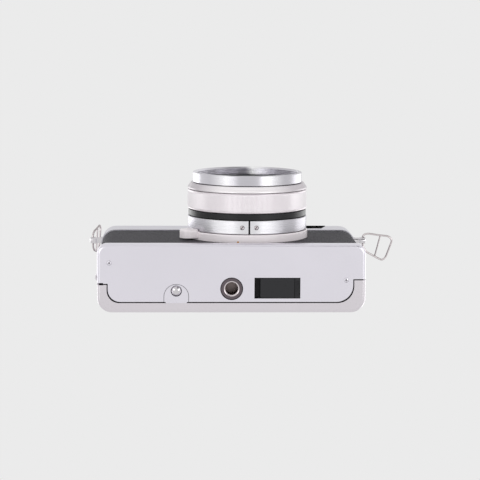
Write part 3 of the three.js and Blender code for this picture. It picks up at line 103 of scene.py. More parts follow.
# %% Colour and node helpers
def srgb(hex_colour):
    """A hex colour such as D9D7DD as linear red, green, blue and alpha."""
    parts = [int(hex_colour[i:i + 2], 16) / 255 for i in (0, 2, 4)]
    linear = [c / 12.92 if c <= 0.04045 else ((c + 0.055) / 1.055) ** 2.4 for c in parts]
    return (*linear, 1.0)


def add_node(tree, kind, settings=None, inputs=None):
    """Adds one node. An input given as a socket is linked, and any other value is set."""
    made = tree.nodes.new(kind)
    for name, value in (settings or {}).items():
        setattr(made, name, value)
    for name, value in (inputs or {}).items():
        if isinstance(value, bpy.types.NodeSocket):
            tree.links.new(value, made.inputs[name])
        else:
            made.inputs[name].default_value = value
    return made


def start_finish(name, colour, metallic, roughness):
    """A material with a plain shader, and its coordinates in millimetres."""
    finish = bpy.data.materials.new(name)
    finish.use_nodes = True
    tree = finish.node_tree
    shader = tree.nodes["Principled BSDF"]
    shader.inputs["Base Color"].default_value = srgb(colour)
    shader.inputs["Metallic"].default_value = metallic
    shader.inputs["Roughness"].default_value = roughness
    place = add_node(tree, "ShaderNodeTexCoord")
    scaled = add_node(tree, "ShaderNodeMapping", {"vector_type": "POINT"},
                      {"Vector": place.outputs["Object"], "Scale": (1000, 1000, 1000)})
    return finish, tree, shader, scaled.outputs["Vector"]


# %% [markdown]
# ## Studio
# The background is one pale grey. The world shows that grey to the camera and to reflections, and
# lights the rest more weakly, so that the lamps can shape the object. The floor lies just under the
# bottom plate. It only shows to a camera above it, where it catches the object's shadow, and lets
# light and views from below through: the bottom plate is the main thing to see.

# %% World
PALE = "EBEBEB"
WORLD_LIGHT = 0.74
world = bpy.data.worlds.new("studio_world")
bpy.context.scene.world = world
world.use_nodes = True
world_tree = world.node_tree
world_tree.nodes.clear()
path = add_node(world_tree, "ShaderNodeLightPath")
seen = add_node(world_tree, "ShaderNodeMath", {"operation": "MAXIMUM"},
                {0: path.outputs["Is Camera Ray"], 1: path.outputs["Is Glossy Ray"]})
seen = add_node(world_tree, "ShaderNodeMath", {"operation": "MAXIMUM"},
                {0: seen.outputs[0], 1: path.outputs["Is Transmission Ray"]})
soft_light = add_node(world_tree, "ShaderNodeBackground", None,
                      {"Color": (1, 1, 1, 1), "Strength": WORLD_LIGHT})
backdrop = add_node(world_tree, "ShaderNodeBackground", None, {"Color": srgb(PALE), "Strength": 1.0})
sky = add_node(world_tree, "ShaderNodeMixShader", None,
               {0: seen.outputs[0], 1: soft_light.outputs[0], 2: backdrop.outputs[0]})
add_node(world_tree, "ShaderNodeOutputWorld", None, {"Surface": sky.outputs[0]})
print("world:", PALE, "behind,", WORLD_LIGHT, "as light")

# %% Floor
bpy.ops.object.select_all(action="DESELECT")
bpy.ops.mesh.primitive_plane_add(size=6, location=(0, 0, cad_box[0][2] - 0.3 * MM))
floor = bpy.context.object
floor.name = "floor"
floor_finish, tree, shader, _ = start_finish("pale_floor_paint", PALE, 0, 0.9)
path = add_node(tree, "ShaderNodeLightPath")
side = add_node(tree, "ShaderNodeNewGeometry")
from_above = add_node(tree, "ShaderNodeMath", {"operation": "SUBTRACT"},
                      {0: path.outputs["Is Camera Ray"], 1: side.outputs["Backfacing"]})
shown = add_node(tree, "ShaderNodeMath", {"operation": "MAXIMUM"}, {0: from_above.outputs[0], 1: 0.0})
clear = add_node(tree, "ShaderNodeBsdfTransparent")
surface = add_node(tree, "ShaderNodeMixShader", None,
                   {0: shown.outputs[0], 1: clear.outputs[0], 2: shader.outputs[0]})
tree.links.new(surface.outputs[0], tree.nodes["Material Output"].inputs["Surface"])
floor.data.materials.append(floor_finish)
print("floor at", round(floor.location.z / MM, 2), "mm")

# %% Lamps
HALF_HEIGHT = 36


def soft_lamp(name, place, width, height, radiance):
    """An area lamp that points at the middle of the object and that no camera sees."""
    bpy.ops.object.light_add(type="AREA", location=place)
    lamp = bpy.context.object
    lamp.name = name
    lamp.data.shape = "RECTANGLE"
    lamp.data.size = width
    lamp.data.size_y = height
    lamp.data.energy = radiance * math.pi * width * height
    middle = Vector((0, 0, HALF_HEIGHT * MM))
    lamp.rotation_euler = (middle - lamp.location).to_track_quat("-Z", "Y").to_euler()
    lamp.visible_camera = False
    return lamp


lamps = [
    soft_lamp("lamp_below_left", (-0.80, -0.25, -0.75), 0.55, 1.0, 1.0),
    soft_lamp("lamp_below_right", (0.80, -0.25, -0.75), 0.55, 1.0, 1.35),
    soft_lamp("lamp_above_left", (-0.75, 0.12, 1.00), 0.7, 0.8, 1.4),
    soft_lamp("lamp_above_right", (0.85, 0.35, 0.80), 0.8, 1.0, 1.1),
]
print("lamps:", [lamp.name for lamp in lamps])

# %% Black card
# Polished domes need something dark to reflect. A small card stands out of the camera's sight.
bpy.ops.object.select_all(action="DESELECT")
bpy.ops.mesh.primitive_plane_add(size=0.42, location=(0.36, -0.56, -0.58))
card = bpy.context.object
card.name = "black_card"
card.rotation_euler = (Vector((0, 0, 0)) - card.location).to_track_quat("Z", "Y").to_euler()
card.visible_camera = False
card_finish, tree, shader, _ = start_finish("black_card_paper", "08080A", 0, 0.9)
card.data.materials.append(card_finish)
print("card", round(card.location.length, 2), "m from the object")

# %% [markdown]
# ## Satin chrome and bright chrome
# The bottom plate, the door and the top cover are pressed brass. They are plated with chrome over a
# blasted surface, so they look silver but never mirror anything sharply. The eye reads that from an
# even, soft shine with a very fine grain, and from small changes in gloss where hands have been. The
# lugs, the wire rings and the buttons are plated over polished metal and stay bright.

# %% Satin chrome
def satin_chrome(name, colour, roughness, grain_mm):
    """Chrome over a blasted surface: a fine grain in the bump and slow changes in the gloss."""
    finish, tree, shader, mm = start_finish(name, colour, 1.0, roughness)
    slow = add_node(tree, "ShaderNodeTexNoise", None,
                    {"Vector": mm, "Scale": 1 / 22, "Detail": 3, "Roughness": 0.6})
    gloss = add_node(tree, "ShaderNodeMapRange", None,
                     {"Value": slow.outputs["Fac"], "From Min": 0.3, "From Max": 0.7,
                      "To Min": roughness - 0.035, "To Max": roughness + 0.035})
    tree.links.new(gloss.outputs["Result"], shader.inputs["Roughness"])
    grain = add_node(tree, "ShaderNodeTexNoise", None,
                     {"Vector": mm, "Scale": 1 / grain_mm, "Detail": 2, "Roughness": 0.7})
    bump = add_node(tree, "ShaderNodeBump", None,
                    {"Height": grain.outputs["Fac"], "Strength": 0.10, "Distance": 0.02 * MM})
    tree.links.new(bump.outputs["Normal"], shader.inputs["Normal"])
    return finish


chrome_plate = satin_chrome("satin_chrome_plated_brass", "E8E5ED", 0.31, 0.25)
chrome_door = satin_chrome("satin_chrome_plated_door", "DFDADF", 0.31, 0.25)
# The cover's chrome is the same plating, set darker than the plate's: painted shade, for the dimmer look of
# a surface seen at a flat angle.
shaded_satin_chrome = satin_chrome("satin_chrome_plated_cover", "D2D0D8", 0.31, 0.25)


def bright_metal(name, colour, roughness):
    """Polished plating, with faint ripples left by the polishing wheel."""
    finish, tree, shader, mm = start_finish(name, colour, 1.0, roughness)
    ripple = add_node(tree, "ShaderNodeTexNoise", None, {"Vector": mm, "Scale": 1 / 1.6, "Detail": 1})
    bump = add_node(tree, "ShaderNodeBump", None,
                    {"Height": ripple.outputs["Fac"], "Strength": 0.12, "Distance": 0.05 * MM})
    tree.links.new(bump.outputs["Normal"], shader.inputs["Normal"])
    return finish


bright_chrome = bright_metal("bright_chrome_plated_brass", "D8D5D8", 0.14)
wire_steel = bright_metal("drawn_nickel_plated_wire", "C4B8BA", 0.2)
# The wire's colour darkens where it is seen at a flat angle: a painted reflection, for the dark outline
# that polished wire has in a real room. It follows the view and not the metal, and an exported model loses
# it.
tree = wire_steel.node_tree
edge = add_node(tree, "ShaderNodeLayerWeight", None, {"Blend": 0.45})
painted_dark_rim = add_node(tree, "ShaderNodeMix", {"data_type": "RGBA"},
                     {0: edge.outputs["Facing"], 6: srgb("E2DADB"), 7: srgb("5E5052")})
tree.links.new(painted_dark_rim.outputs[2], tree.nodes["Principled BSDF"].inputs["Base Color"])
dark_steel = bright_metal("machined_steel", "6A6166", 0.34)
# Pale steel: the clamp screws' own colour, and a painted highlight on the tripod socket's chamfer.
pale_steel_and_highlight = bright_metal("pale_steel_and_painted_highlight", "E0D8DA", 0.22)
thread_steel = bright_metal("oiled_steel_thread", "867A78", 0.38)
brushed_steel = bright_metal("brushed_stainless_steel", "B9B5B9", 0.3)
brass = bright_metal("turned_brass", "B3924F", 0.3)
print("plated finishes:", chrome_plate.name, bright_chrome.name)

# %% [markdown]
# ## Turned aluminium
# The rings of the lens are turned from aluminium and anodised. A lathe leaves fine lines that run
# round the axis. They widen reflections along the axis, so that the rings show soft streaks
# from front to back. The lines here depend on the distance from the lens axis and on the place along
# it. Real ones are about 0.1 mm apart: they are drawn 0.35 mm apart so that they show.
# Three finishes also get a few broad sectors of lighter and darker colour round the axis: painted
# reflections, with a painted white highlight on the filter ring. They stand for the dark and light things
# that a polished ring reflects in a real room, which this plain studio doesn't have. They are painted into
# the base colour, so they stay where they are when the light changes.

# %% Turned aluminium
lens_low, lens_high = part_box("focus_ring")
LENS_X = (lens_low.x + lens_high.x) / 2
LENS_Z = (lens_low.z + lens_high.z) / 2


TURNING_MM = 0.35
KNURL_RADIUS = 27.6
KNURL_DEPTH = 0.2


def turned_metal(name, colour, metallic, roughness, depth, sectors=None, groove=None):
    """Metal with turning lines round the lens axis.

    sectors lists (degrees from straight below, colour) for lighter and darker streaks: painted
    reflections and highlights in the base colour. groove is a darker colour for the bottoms of the
    knurling: painted shade.
    """
    finish, tree, shader, mm = start_finish(name, colour, metallic, roughness)
    centred = add_node(tree, "ShaderNodeVectorMath", {"operation": "SUBTRACT"},
                       {0: mm, 1: (LENS_X / MM, 0, LENS_Z / MM)})
    axes = add_node(tree, "ShaderNodeSeparateXYZ", None, {0: centred.outputs[0]})
    across = add_node(tree, "ShaderNodeCombineXYZ", None,
                      {"X": axes.outputs["X"], "Y": axes.outputs["Z"]})
    radius = add_node(tree, "ShaderNodeVectorMath", {"operation": "LENGTH"}, {0: across.outputs[0]})
    along = add_node(tree, "ShaderNodeMath", {"operation": "ADD"},
                     {0: radius.outputs["Value"], 1: axes.outputs["Y"]})
    lines = add_node(tree, "ShaderNodeTexNoise", {"noise_dimensions": "1D"},
                     {"W": along.outputs[0], "Scale": 1 / TURNING_MM, "Detail": 3, "Roughness": 0.75})
    spread = min(0.06, 0.6 * depth)
    gloss = add_node(tree, "ShaderNodeMapRange", None,
                     {"Value": lines.outputs["Fac"], "From Min": 0.3, "From Max": 0.7,
                      "To Min": roughness - spread, "To Max": roughness + spread})
    tree.links.new(gloss.outputs["Result"], shader.inputs["Roughness"])
    bump = add_node(tree, "ShaderNodeBump", None,
                    {"Height": lines.outputs["Fac"], "Strength": depth, "Distance": 0.03 * MM})
    tree.links.new(bump.outputs["Normal"], shader.inputs["Normal"])
    # Painted reflections: lighter and darker sectors of colour round the axis go into the base colour.
    if sectors:
        below = add_node(tree, "ShaderNodeMath", {"operation": "MULTIPLY"},
                         {0: axes.outputs["Z"], 1: -1.0})
        turn = add_node(tree, "ShaderNodeMath", {"operation": "ARCTAN2"},
                        {0: axes.outputs["X"], 1: below.outputs[0]})
        share = add_node(tree, "ShaderNodeMapRange", None,
                         {"Value": turn.outputs[0], "From Min": -math.pi, "From Max": math.pi})
        ramp = add_node(tree, "ShaderNodeValToRGB", None, {0: share.outputs["Result"]})
        stops = ramp.color_ramp.elements
        stops[0].position, stops[0].color = 0.0, srgb(sectors[0][1])
        stops[1].position, stops[1].color = 1.0, srgb(sectors[-1][1])
        for degrees, tone in sectors[1:-1]:
            stops.new(degrees / 360 + 0.5).color = srgb(tone)
        tree.links.new(ramp.outputs["Color"], shader.inputs["Base Color"])
    # A darker colour at the bottoms of the knurling: painted shade in the grooves.
    if groove:
        depth_share = add_node(tree, "ShaderNodeMapRange", None,
                               {"Value": radius.outputs["Value"], "From Min": KNURL_RADIUS - 0.18,
                                "From Max": KNURL_RADIUS - 0.02})
        painted_groove_shade = add_node(tree, "ShaderNodeMix", {"data_type": "RGBA"},
                         {0: depth_share.outputs["Result"], 6: srgb(groove), 7: srgb(colour)})
        tree.links.new(painted_groove_shade.outputs[2], shader.inputs["Base Color"])
    return finish


# Painted reflections and highlights of three rings, as (degrees from straight below, colour).
FILTER_PAINTED_REFLECTIONS = [(-180, "B4B2B8"), (-160, "B4B2B8"), (-120, "E8E6EC"), (-45, "D0CED4"), (-25, "F4F3F6"),
                  (-15, "CAC8CE"), (10, "CCCAD0"), (20, "F0EFF2"), (40, "C8C6CC"), (150, "C8C6CC"),
                  (160, "EDECF0"), (172, "FFFFFF"), (180, "B4B2B8")]
SHROUD_PAINTED_REFLECTIONS = [(-180, "C8C6CC"), (-60, "C6C4CA"), (-48, "CAC8CE"), (-36, "F0EFF2"), (22, "E6E5E9"),
                  (36, "CAC8CE"), (56, "BEBCC2"), (180, "C8C6CC")]
BEVEL_PAINTED_REFLECTIONS = [(-180, "EAE6E9"), (-75, "C4BEC3"), (-58, "CAC4C9"), (-28, "FFFBFD"), (20, "FFFBFD"),
                 (46, "D4CED3"), (75, "C8C2C7"), (180, "EAE6E9")]
bright_ring = turned_metal("bright_turned_aluminium", "D4D2D8", 1.0, 0.24, 0.35, FILTER_PAINTED_REFLECTIONS)
shroud_metal = turned_metal("satin_turned_aluminium", "DEDCE2", 1.0, 0.28, 0.35, SHROUD_PAINTED_REFLECTIONS)
# The focus ring's grooves get painted shade.
knurl_metal = turned_metal("anodised_knurled_aluminium", "FFFCFE", 0.5, 0.3, 0.01, groove="E6DEE3")
pearl_ring = turned_metal("pearl_anodised_aluminium", "FFF8FB", 0.1, 0.34, 0.1)
bevel_metal = turned_metal("pearl_anodised_bevel", "FFFBFD", 0.45, 0.26, 0.1, BEVEL_PAINTED_REFLECTIONS)
black_band = turned_metal("black_anodised_aluminium", "17171A", 0.3, 0.28, 0.2)
black_inside = turned_metal("matt_black_anodised_aluminium", "0E0E10", 0.1, 0.5, 0.3)
print("turned finishes round the axis at", round(LENS_X / MM, 2), round(LENS_Z / MM, 2))

# %% [markdown]
# ## Leatherette, plastics and glass
# The grip covering is vinyl pressed with a leather grain. Each grain is a low bump about 0.8 mm
# across with a narrow valley round it. The valleys are darker, because dust and shadow sit there.
# The battery cover and the frame of the eyepiece are moulded ABS: a fine spark-eroded texture makes
# them almost matt. The finder's front is clear acrylic, painted black behind, so it is glossy.
# A real clear layer shines more at a flat angle. Here its shine is faded out there, so that the strip
# still looks black from below, where it would otherwise mirror the pale background. An exported model
# loses this fade.

# %% Leatherette
GRAIN_MM = 0.8
leatherette, tree, shader, mm = start_finish("grained_vinyl_leatherette", "5B585F", 0.0, 0.62)
wobble = add_node(tree, "ShaderNodeTexNoise", None, {"Vector": mm, "Scale": 1.1, "Detail": 2})
bent = add_node(tree, "ShaderNodeVectorMath", {"operation": "MULTIPLY_ADD"},
                {0: wobble.outputs["Color"], 1: (0.7, 0.7, 0.7), 2: mm})
cells = add_node(tree, "ShaderNodeTexVoronoi", {"feature": "SMOOTH_F1"},
                 {"Vector": bent.outputs[0], "Scale": 1 / GRAIN_MM, "Smoothness": 0.5})
valley = add_node(tree, "ShaderNodeMapRange", {"interpolation_type": "SMOOTHSTEP"},
                  {"Value": cells.outputs["Distance"], "From Min": 0.15, "From Max": 0.75,
                   "To Min": 1.0, "To Max": 0.0})
shade = add_node(tree, "ShaderNodeMix", {"data_type": "RGBA"},
                 {0: valley.outputs["Result"], 6: srgb("29272D"), 7: srgb("434148")})
tree.links.new(shade.outputs[2], shader.inputs["Base Color"])
bump = add_node(tree, "ShaderNodeBump", None,
                {"Height": valley.outputs["Result"], "Strength": 0.9, "Distance": 0.2 * MM})
tree.links.new(bump.outputs["Normal"], shader.inputs["Normal"])
shader.inputs["Specular IOR Level"].default_value = 0.25
print("leatherette grain:", GRAIN_MM, "mm")


# %% Plastics and paint
def moulded(name, colour, roughness, texture_mm, depth, shine=0.5):
    """Moulded plastic: a fine eroded texture and slightly uneven gloss."""
    finish, tree, shader, mm = start_finish(name, colour, 0.0, roughness)
    shader.inputs["Specular IOR Level"].default_value = shine
    texture = add_node(tree, "ShaderNodeTexNoise", None,
                       {"Vector": mm, "Scale": 1 / texture_mm, "Detail": 2, "Roughness": 0.6})
    gloss = add_node(tree, "ShaderNodeMapRange", None,
                     {"Value": texture.outputs["Fac"], "To Min": roughness - 0.06,
                      "To Max": roughness + 0.06})
    tree.links.new(gloss.outputs["Result"], shader.inputs["Roughness"])
    bump = add_node(tree, "ShaderNodeBump", None,
                    {"Height": texture.outputs["Fac"], "Strength": depth, "Distance": 0.03 * MM})
    tree.links.new(bump.outputs["Normal"], shader.inputs["Normal"])
    return finish


black_plastic = moulded("moulded_black_abs", "1E1E22", 0.46, 0.3, 0.3, 0.4)
# A darker copy of the same black ABS: painted shade, for black plastic in shadow.
shaded_black_plastic = moulded("moulded_black_abs_in_shadow", "0C0C0E", 0.5, 0.3, 0.3, 0.2)
gloss_black = moulded("black_painted_acrylic", "040405", 0.1, 4.0, 0.02, 0.5)


def fade_shine(finish, *sockets):
    """Fades the shine out at very flat angles, so that black stays black there."""
    fading = finish.node_tree
    flat = add_node(fading, "ShaderNodeLayerWeight", None, {"Blend": 0.5})
    for socket in sockets:
        full = fading.nodes["Principled BSDF"].inputs[socket]
        level = add_node(fading, "ShaderNodeMapRange", None,
                         {"Value": flat.outputs["Facing"], "From Min": 0.5, "From Max": 0.82,
                          "To Min": full.default_value, "To Max": 0.0})
        fading.links.new(level.outputs["Result"], full)


fade_shine(gloss_black, "Specular IOR Level")
white_ink = moulded("white_printing_ink", "E4E2DE", 0.5, 0.5, 0.1)
orange_paint = moulded("orange_index_paint", "D99A4E", 0.45, 0.5, 0.1)
cast_alloy = moulded("black_painted_die_cast_alloy", "1D1D20", 0.6, 0.5, 0.5)
print("plastics and paints are ready")

# %% Glass
coated_glass, tree, shader, mm = start_finish("coated_optical_glass", "F2F0F7", 0.0, 0.02)
shader.inputs["Transmission Weight"].default_value = 1.0
shader.inputs["IOR"].default_value = 1.52
shader.inputs["Coat Weight"].default_value = 0.6
shader.inputs["Coat IOR"].default_value = 1.7
shader.inputs["Coat Tint"].default_value = srgb("A79BE0")
clear_acrylic, tree, shader, mm = start_finish("clear_moulded_acrylic", "F8F8F8", 0.0, 0.03)
shader.inputs["Transmission Weight"].default_value = 1.0
shader.inputs["IOR"].default_value = 1.2
finder_glass, tree, shader, mm = start_finish("smoked_finder_glass", "23252C", 0.0, 0.04)
shader.inputs["IOR"].default_value = 1.52
shader.inputs["Coat Weight"].default_value = 0.7
film = add_node(tree, "ShaderNodeTexNoise", None, {"Vector": mm, "Scale": 0.25, "Detail": 1})
tint = add_node(tree, "ShaderNodeMix", {"data_type": "RGBA"},
                {0: film.outputs["Fac"], 6: srgb("1B1D24"), 7: srgb("2E3240")})
tree.links.new(tint.outputs[2], shader.inputs["Base Color"])
fade_shine(finder_glass, "Specular IOR Level", "Coat Weight")
print("glass:", coated_glass.name, finder_glass.name)

# %% [markdown]
# ## Hand tools
# A few small tools do what a hand does in the modeller: put down a block, pick edges by their place,
# round them, cut one solid with another, spin a profile round an axis, and hand the finished piece
# over to the body that it rides on.

# %% Blocks, picking and rounding
def deselect():
    if bpy.context.object and bpy.context.object.mode != "OBJECT":
        bpy.ops.object.mode_set(mode="OBJECT")
    bpy.ops.object.select_all(action="DESELECT")


def work_on(piece):
    deselect()
    piece.select_set(True)
    bpy.context.view_layer.objects.active = piece


def block(name, low, high):
    """A block between two corners given in millimetres, with its place in its mesh."""
    low, high = Vector(low) * MM, Vector(high) * MM
    deselect()
    bpy.ops.mesh.primitive_cube_add(size=1, location=(low + high) / 2)
    piece = bpy.context.object
    piece.name = name
    piece.scale = high - low
    bpy.ops.object.transform_apply(location=True, rotation=True, scale=True)
    return piece


def pick_edges(piece, test):
    """Opens the piece and picks the edges whose two ends, in millimetres, pass the test."""
    work_on(piece)
    bpy.ops.object.mode_set(mode="EDIT")
    bpy.ops.mesh.select_mode(type="EDGE")
    bpy.ops.mesh.select_all(action="DESELECT")
    mesh = bmesh.from_edit_mesh(piece.data)
    for edge in mesh.edges:
        edge.select = test(edge.verts[0].co / MM, edge.verts[1].co / MM)
    mesh.select_flush_mode()
    bmesh.update_edit_mesh(piece.data)


def round_off(piece, test, radius, segments=6):
    """Rounds the picked edges."""
    pick_edges(piece, test)
    bpy.ops.mesh.bevel(offset=radius * MM, segments=segments, profile=0.5, affect="EDGES")
    bpy.ops.object.mode_set(mode="OBJECT")


def upright(a, b):
    return abs(a.z - b.z) > 0.5 * (a - b).length and (a.xy - b.xy).length < 1e-3


def at_height(z):
    return lambda a, b: abs(a.z - z) < 1e-3 and abs(b.z - z) < 1e-3


def along_y(least):
    """A test for the edges that run from front to back by more than a length."""
    return lambda a, b: abs(a.y - b.y) > least


print("tools: block, pick_edges, round_off")


# %% Cutting, spinning and finishing
def combine(piece, other, operation):
    """Cuts, joins or keeps what two closed pieces share, and removes the second."""
    work_on(piece)
    tool = piece.modifiers.new("combine", "BOOLEAN")
    tool.operation = operation
    tool.solver = "EXACT"
    tool.object = other
    bpy.ops.object.modifier_apply(modifier=tool.name)
    bpy.data.objects.remove(other)
    return piece


def cut(piece, other):
    return combine(piece, other, "DIFFERENCE")


def make_even(piece):
    """Merges doubled points and turns every face outwards."""
    work_on(piece)
    bpy.ops.object.mode_set(mode="EDIT")
    bpy.ops.mesh.select_all(action="SELECT")
    bpy.ops.mesh.remove_doubles(threshold=2e-6)
    bpy.ops.mesh.normals_make_consistent(inside=False)
    bpy.ops.object.mode_set(mode="OBJECT")


def traced(name, points):
    """One point, extruded along the others. The piece is left open, with every point picked."""
    deselect()
    bpy.ops.mesh.primitive_plane_add(size=MM)
    piece = bpy.context.object
    piece.name = name
    bpy.ops.object.mode_set(mode="EDIT")
    bpy.ops.mesh.select_mode(type="VERT")
    bpy.ops.mesh.select_all(action="SELECT")
    bpy.ops.mesh.merge(type="CENTER")
    bpy.ops.transform.translate(value=points[0])
    for before, after in zip(points, points[1:]):
        bpy.ops.mesh.extrude_vertices_move(TRANSFORM_OT_translate={"value": after - before})
    bpy.ops.mesh.select_all(action="SELECT")
    return piece


def spun(name, profile, centre, axis="Y", steps=96):
    """Spins a profile of (radius, place along the axis), in millimetres, once round the axis."""
    along = {"X": Vector((1, 0, 0)), "Y": Vector((0, 1, 0)), "Z": Vector((0, 0, 1))}[axis]
    outward = Vector((0, 0, 1)) if axis != "Z" else Vector((1, 0, 0))
    centre = Vector(centre) * MM
    piece = traced(name, [centre + outward * r * MM + along * t * MM for r, t in profile])
    bpy.ops.mesh.spin(steps=steps, angle=math.tau, center=centre, axis=along)
    bpy.ops.object.mode_set(mode="OBJECT")
    make_even(piece)
    return piece


def lifted(profile, base):
    """A profile whose places along the axis count from a base."""
    return [(r, base + t) for r, t in profile]


def soften(piece, angle=32):
    work_on(piece)
    bpy.ops.object.shade_smooth_by_angle(angle=math.radians(angle))


def edge_break(piece, width, angle=40, segments=2):
    """A narrow rounding on every sharp edge, as tumbling or plating leaves."""
    work_on(piece)
    tool = piece.modifiers.new("edge_break", "BEVEL")
    tool.width = width * MM
    tool.segments = segments
    tool.limit_method = "ANGLE"
    tool.angle_limit = math.radians(angle)
    tool.use_clamp_overlap = True
    bpy.ops.object.modifier_apply(modifier=tool.name)


def even_normals(piece):
    """Keeps wide flat faces flat: each shading normal follows its largest face."""
    work_on(piece)
    tool = piece.modifiers.new("even_normals", "WEIGHTED_NORMAL")
    tool.keep_sharp = True
    bpy.ops.object.modifier_apply(modifier=tool.name)


def two_tone(piece, finish, test):
    """Gives a second finish to the faces whose middle, in millimetres, passes the test."""
    piece.data.materials.append(finish)
    second = len(piece.data.materials) - 1
    for face in piece.data.polygons:
        if test(face.center / MM):
            face.material_index = second


def hand_over(piece, body, finish, slot, *nodes, angle=32):
    """Shades and finishes a piece, sets its body and hides the solids it stands for. slot is not used."""
    soften(piece, angle)
    even_normals(piece)
    piece.data.materials.clear()
    piece.data.materials.append(finish)
    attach(piece, body)
    if nodes:
        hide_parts(*nodes)
    print(piece.name, "rides on", body, "with", len(piece.data.polygons), "faces")
    return piece


print("tools: combine, spun, edge_break, two_tone, hand_over")

# %% [markdown]
# ## The pressed shells
# The bottom plate, the door and the top cover are deep-drawn from sheet brass 1 mm thick. Drawing
# rounds every outer edge: 1.5 mm under the plate and 2.5 mm round the top. All three follow the same
# outline, so one helper makes the rounded block and each shell is cut out of it. The solid model's
# corners are flat facets, and the rounded edges here are what makes the metal look drawn.

# %% Body block
plate_low, plate_high = box_mm("bottom_plate")
door_high = box_mm("back_door")[1]
cover_low, cover_high = box_mm("top_cover")
FRONT = plate_low.y
BACK = door_high.y
HALF = door_high.x
SHEET = 1.0
PLATE_CORNER = 4.44
COVER_CORNER = 6.66
LOWER_EDGE = 1.5
DECK_EDGE = 2.5
SEAM_FROM_BACK = 4.7
SEAM_END_Y = 5.35
LENS_BITE = 28.35
print("front", round(FRONT, 2), "back", round(BACK, 2), "half length", round(HALF, 2))


def rod(name, radius, centre, start, end, axis="Z", sides=64):
    """A round rod along an axis. centre gives its place in the other two directions."""
    deselect()
    length = end - start
    middle = (start + end) / 2
    place = {"X": (middle, centre[0], centre[1]), "Y": (centre[0], middle, centre[1]),
             "Z": (centre[0], centre[1], middle)}[axis]
    turn = {"X": (0, math.pi / 2, 0), "Y": (math.pi / 2, 0, 0), "Z": (0, 0, 0)}[axis]
    bpy.ops.mesh.primitive_cylinder_add(vertices=sides, radius=radius * MM, depth=length * MM,
                                        location=Vector(place) * MM, rotation=turn)
    piece = bpy.context.object
    piece.name = name
    bpy.ops.object.transform_apply(location=True, rotation=True, scale=True)
    return piece


def body_block(name, inset, front_corner, z0, z1, back_inset=None):
    """A block of the camera's outline, drawn in by inset, with rounded upright corners."""
    back_inset = inset if back_inset is None else back_inset
    piece = block(name, (-HALF + inset, FRONT + inset, z0), (HALF - inset, BACK - back_inset, z1))
    front = max(front_corner - inset, 0.6)
    back = max(COVER_CORNER - inset, 0.6)
    middle = (FRONT + BACK) / 2
    round_off(piece, lambda a, b: upright(a, b) and a.y < middle, front, 10)
    round_off(piece, lambda a, b: upright(a, b) and a.y > middle, back, 10)
    return piece


def plate_region(gap):
    """The area inside the door's U-shaped band, as a tall block to cut or keep with."""
    left, right = -HALF + 4.5 + gap, HALF - 5.4 - gap
    middle = block("region", (left, FRONT - 9, -9), (right, BACK - SEAM_FROM_BACK - gap, 90))
    round_off(middle, lambda a, b: upright(a, b) and a.y > 0 and a.x < 0, 5.55, 12)
    round_off(middle, lambda a, b: upright(a, b) and a.y > 0 and a.x > 0, 7.5, 16)
    front = block("region_front", (-HALF - 9, FRONT - 10, -10), (HALF + 9, 2.85 - gap, 91))
    back_left = block("region_left", (-HALF - 8, FRONT - 9.5, -9.5), (0, 4.95 - gap, 90.5))
    return combine(combine(middle, front, "UNION"), back_left, "UNION")


def seam_notch():
    """The small gap at the left end of the seam, where the plate and the door both stop short."""
    return block("notch", (-HALF - 2, SEAM_END_Y - 1, -2), (-HALF + 2.7, SEAM_END_Y, 3.2))


print("the seam runs", SEAM_FROM_BACK, "mm in front of the back")

# %% Bottom plate
plate = body_block("bottom_plate_shell", 0, PLATE_CORNER, 0, plate_high.z)
round_off(plate, at_height(0), LOWER_EDGE, 8)
cut(plate, body_block("inside", SHEET, PLATE_CORNER, SHEET, plate_high.z + 5))
combine(plate, plate_region(0.26), "INTERSECT")
socket_low, socket_high = box_mm("tripod_socket")
socket_place = ((socket_low + socket_high) / 2).xy
cut(plate, rod("hole", 5.1, socket_place, -5, 10, sides=96))
battery_low, battery_high = box_mm("battery_cover")
WINDOW_LEFT = 10.2
cut(plate, block("hole", (WINDOW_LEFT, battery_low.y - 0.3, -5),
                 (battery_high.x + 0.3, battery_high.y + 0.3, 10)))
seat_low, seat_high = box_mm("release_button_seat")
release_low, release_high = box_mm("rewind_release_button")
release_place = ((release_low + release_high) / 2).xy
SEAT_RADIUS = (seat_high.x - seat_low.x) / 2
seat_centre = (release_place.x, seat_low.y + SEAT_RADIUS)
cut(plate, rod("hole", SEAT_RADIUS + 0.2, seat_centre, -5, 10, sides=96))
cut(plate, block("hole", (seat_low.x - 0.2, seat_centre[1], -5), (seat_high.x + 0.2, BACK, 10)))
screw_places = []
for name in ("plate_screw_left", "plate_screw_right"):
    low, high = box_mm(name)
    screw_places.append(((low + high) / 2).xy)
    cut(plate, rod("hole", 1.06, screw_places[-1], -5, 10, sides=48))
cut(plate, seam_notch())
edge_break(plate, 0.1)
hand_over(plate, "root", chrome_plate, "satin_chrome", "bottom_plate")

# %% Back door
DOOR_WALL = 1.6
door = body_block("back_door_shell", 0, PLATE_CORNER, 0, door_high.z)
round_off(door, at_height(0), LOWER_EDGE, 8)
cut(door, body_block("inside", SHEET, PLATE_CORNER, SHEET, door_high.z + 5, DOOR_WALL))
cut(door, plate_region(-0.24))
skin_low, skin_high = box_mm("door_leatherette")
recess = block("recess", (skin_low.x - 0.3, BACK - 0.85, skin_low.z - 0.3),
               (skin_high.x + 0.3, BACK + 5, skin_high.z + 0.3))
round_off(recess, along_y(1), 1.5, 8)
cut(door, recess)
cut(door, seam_notch())
edge_break(door, 0.1)
hand_over(door, "door", chrome_door, "satin_chrome", "back_door")

# %% [markdown]
# The top cover reaches lower at the front, where it meets the leatherette, than at the back, where
# the door reaches up to it. It carries the finder's window strip in front, the eyepiece behind, and
# holes for every control on its deck. A round bite in its lower edge leaves room for the lens.

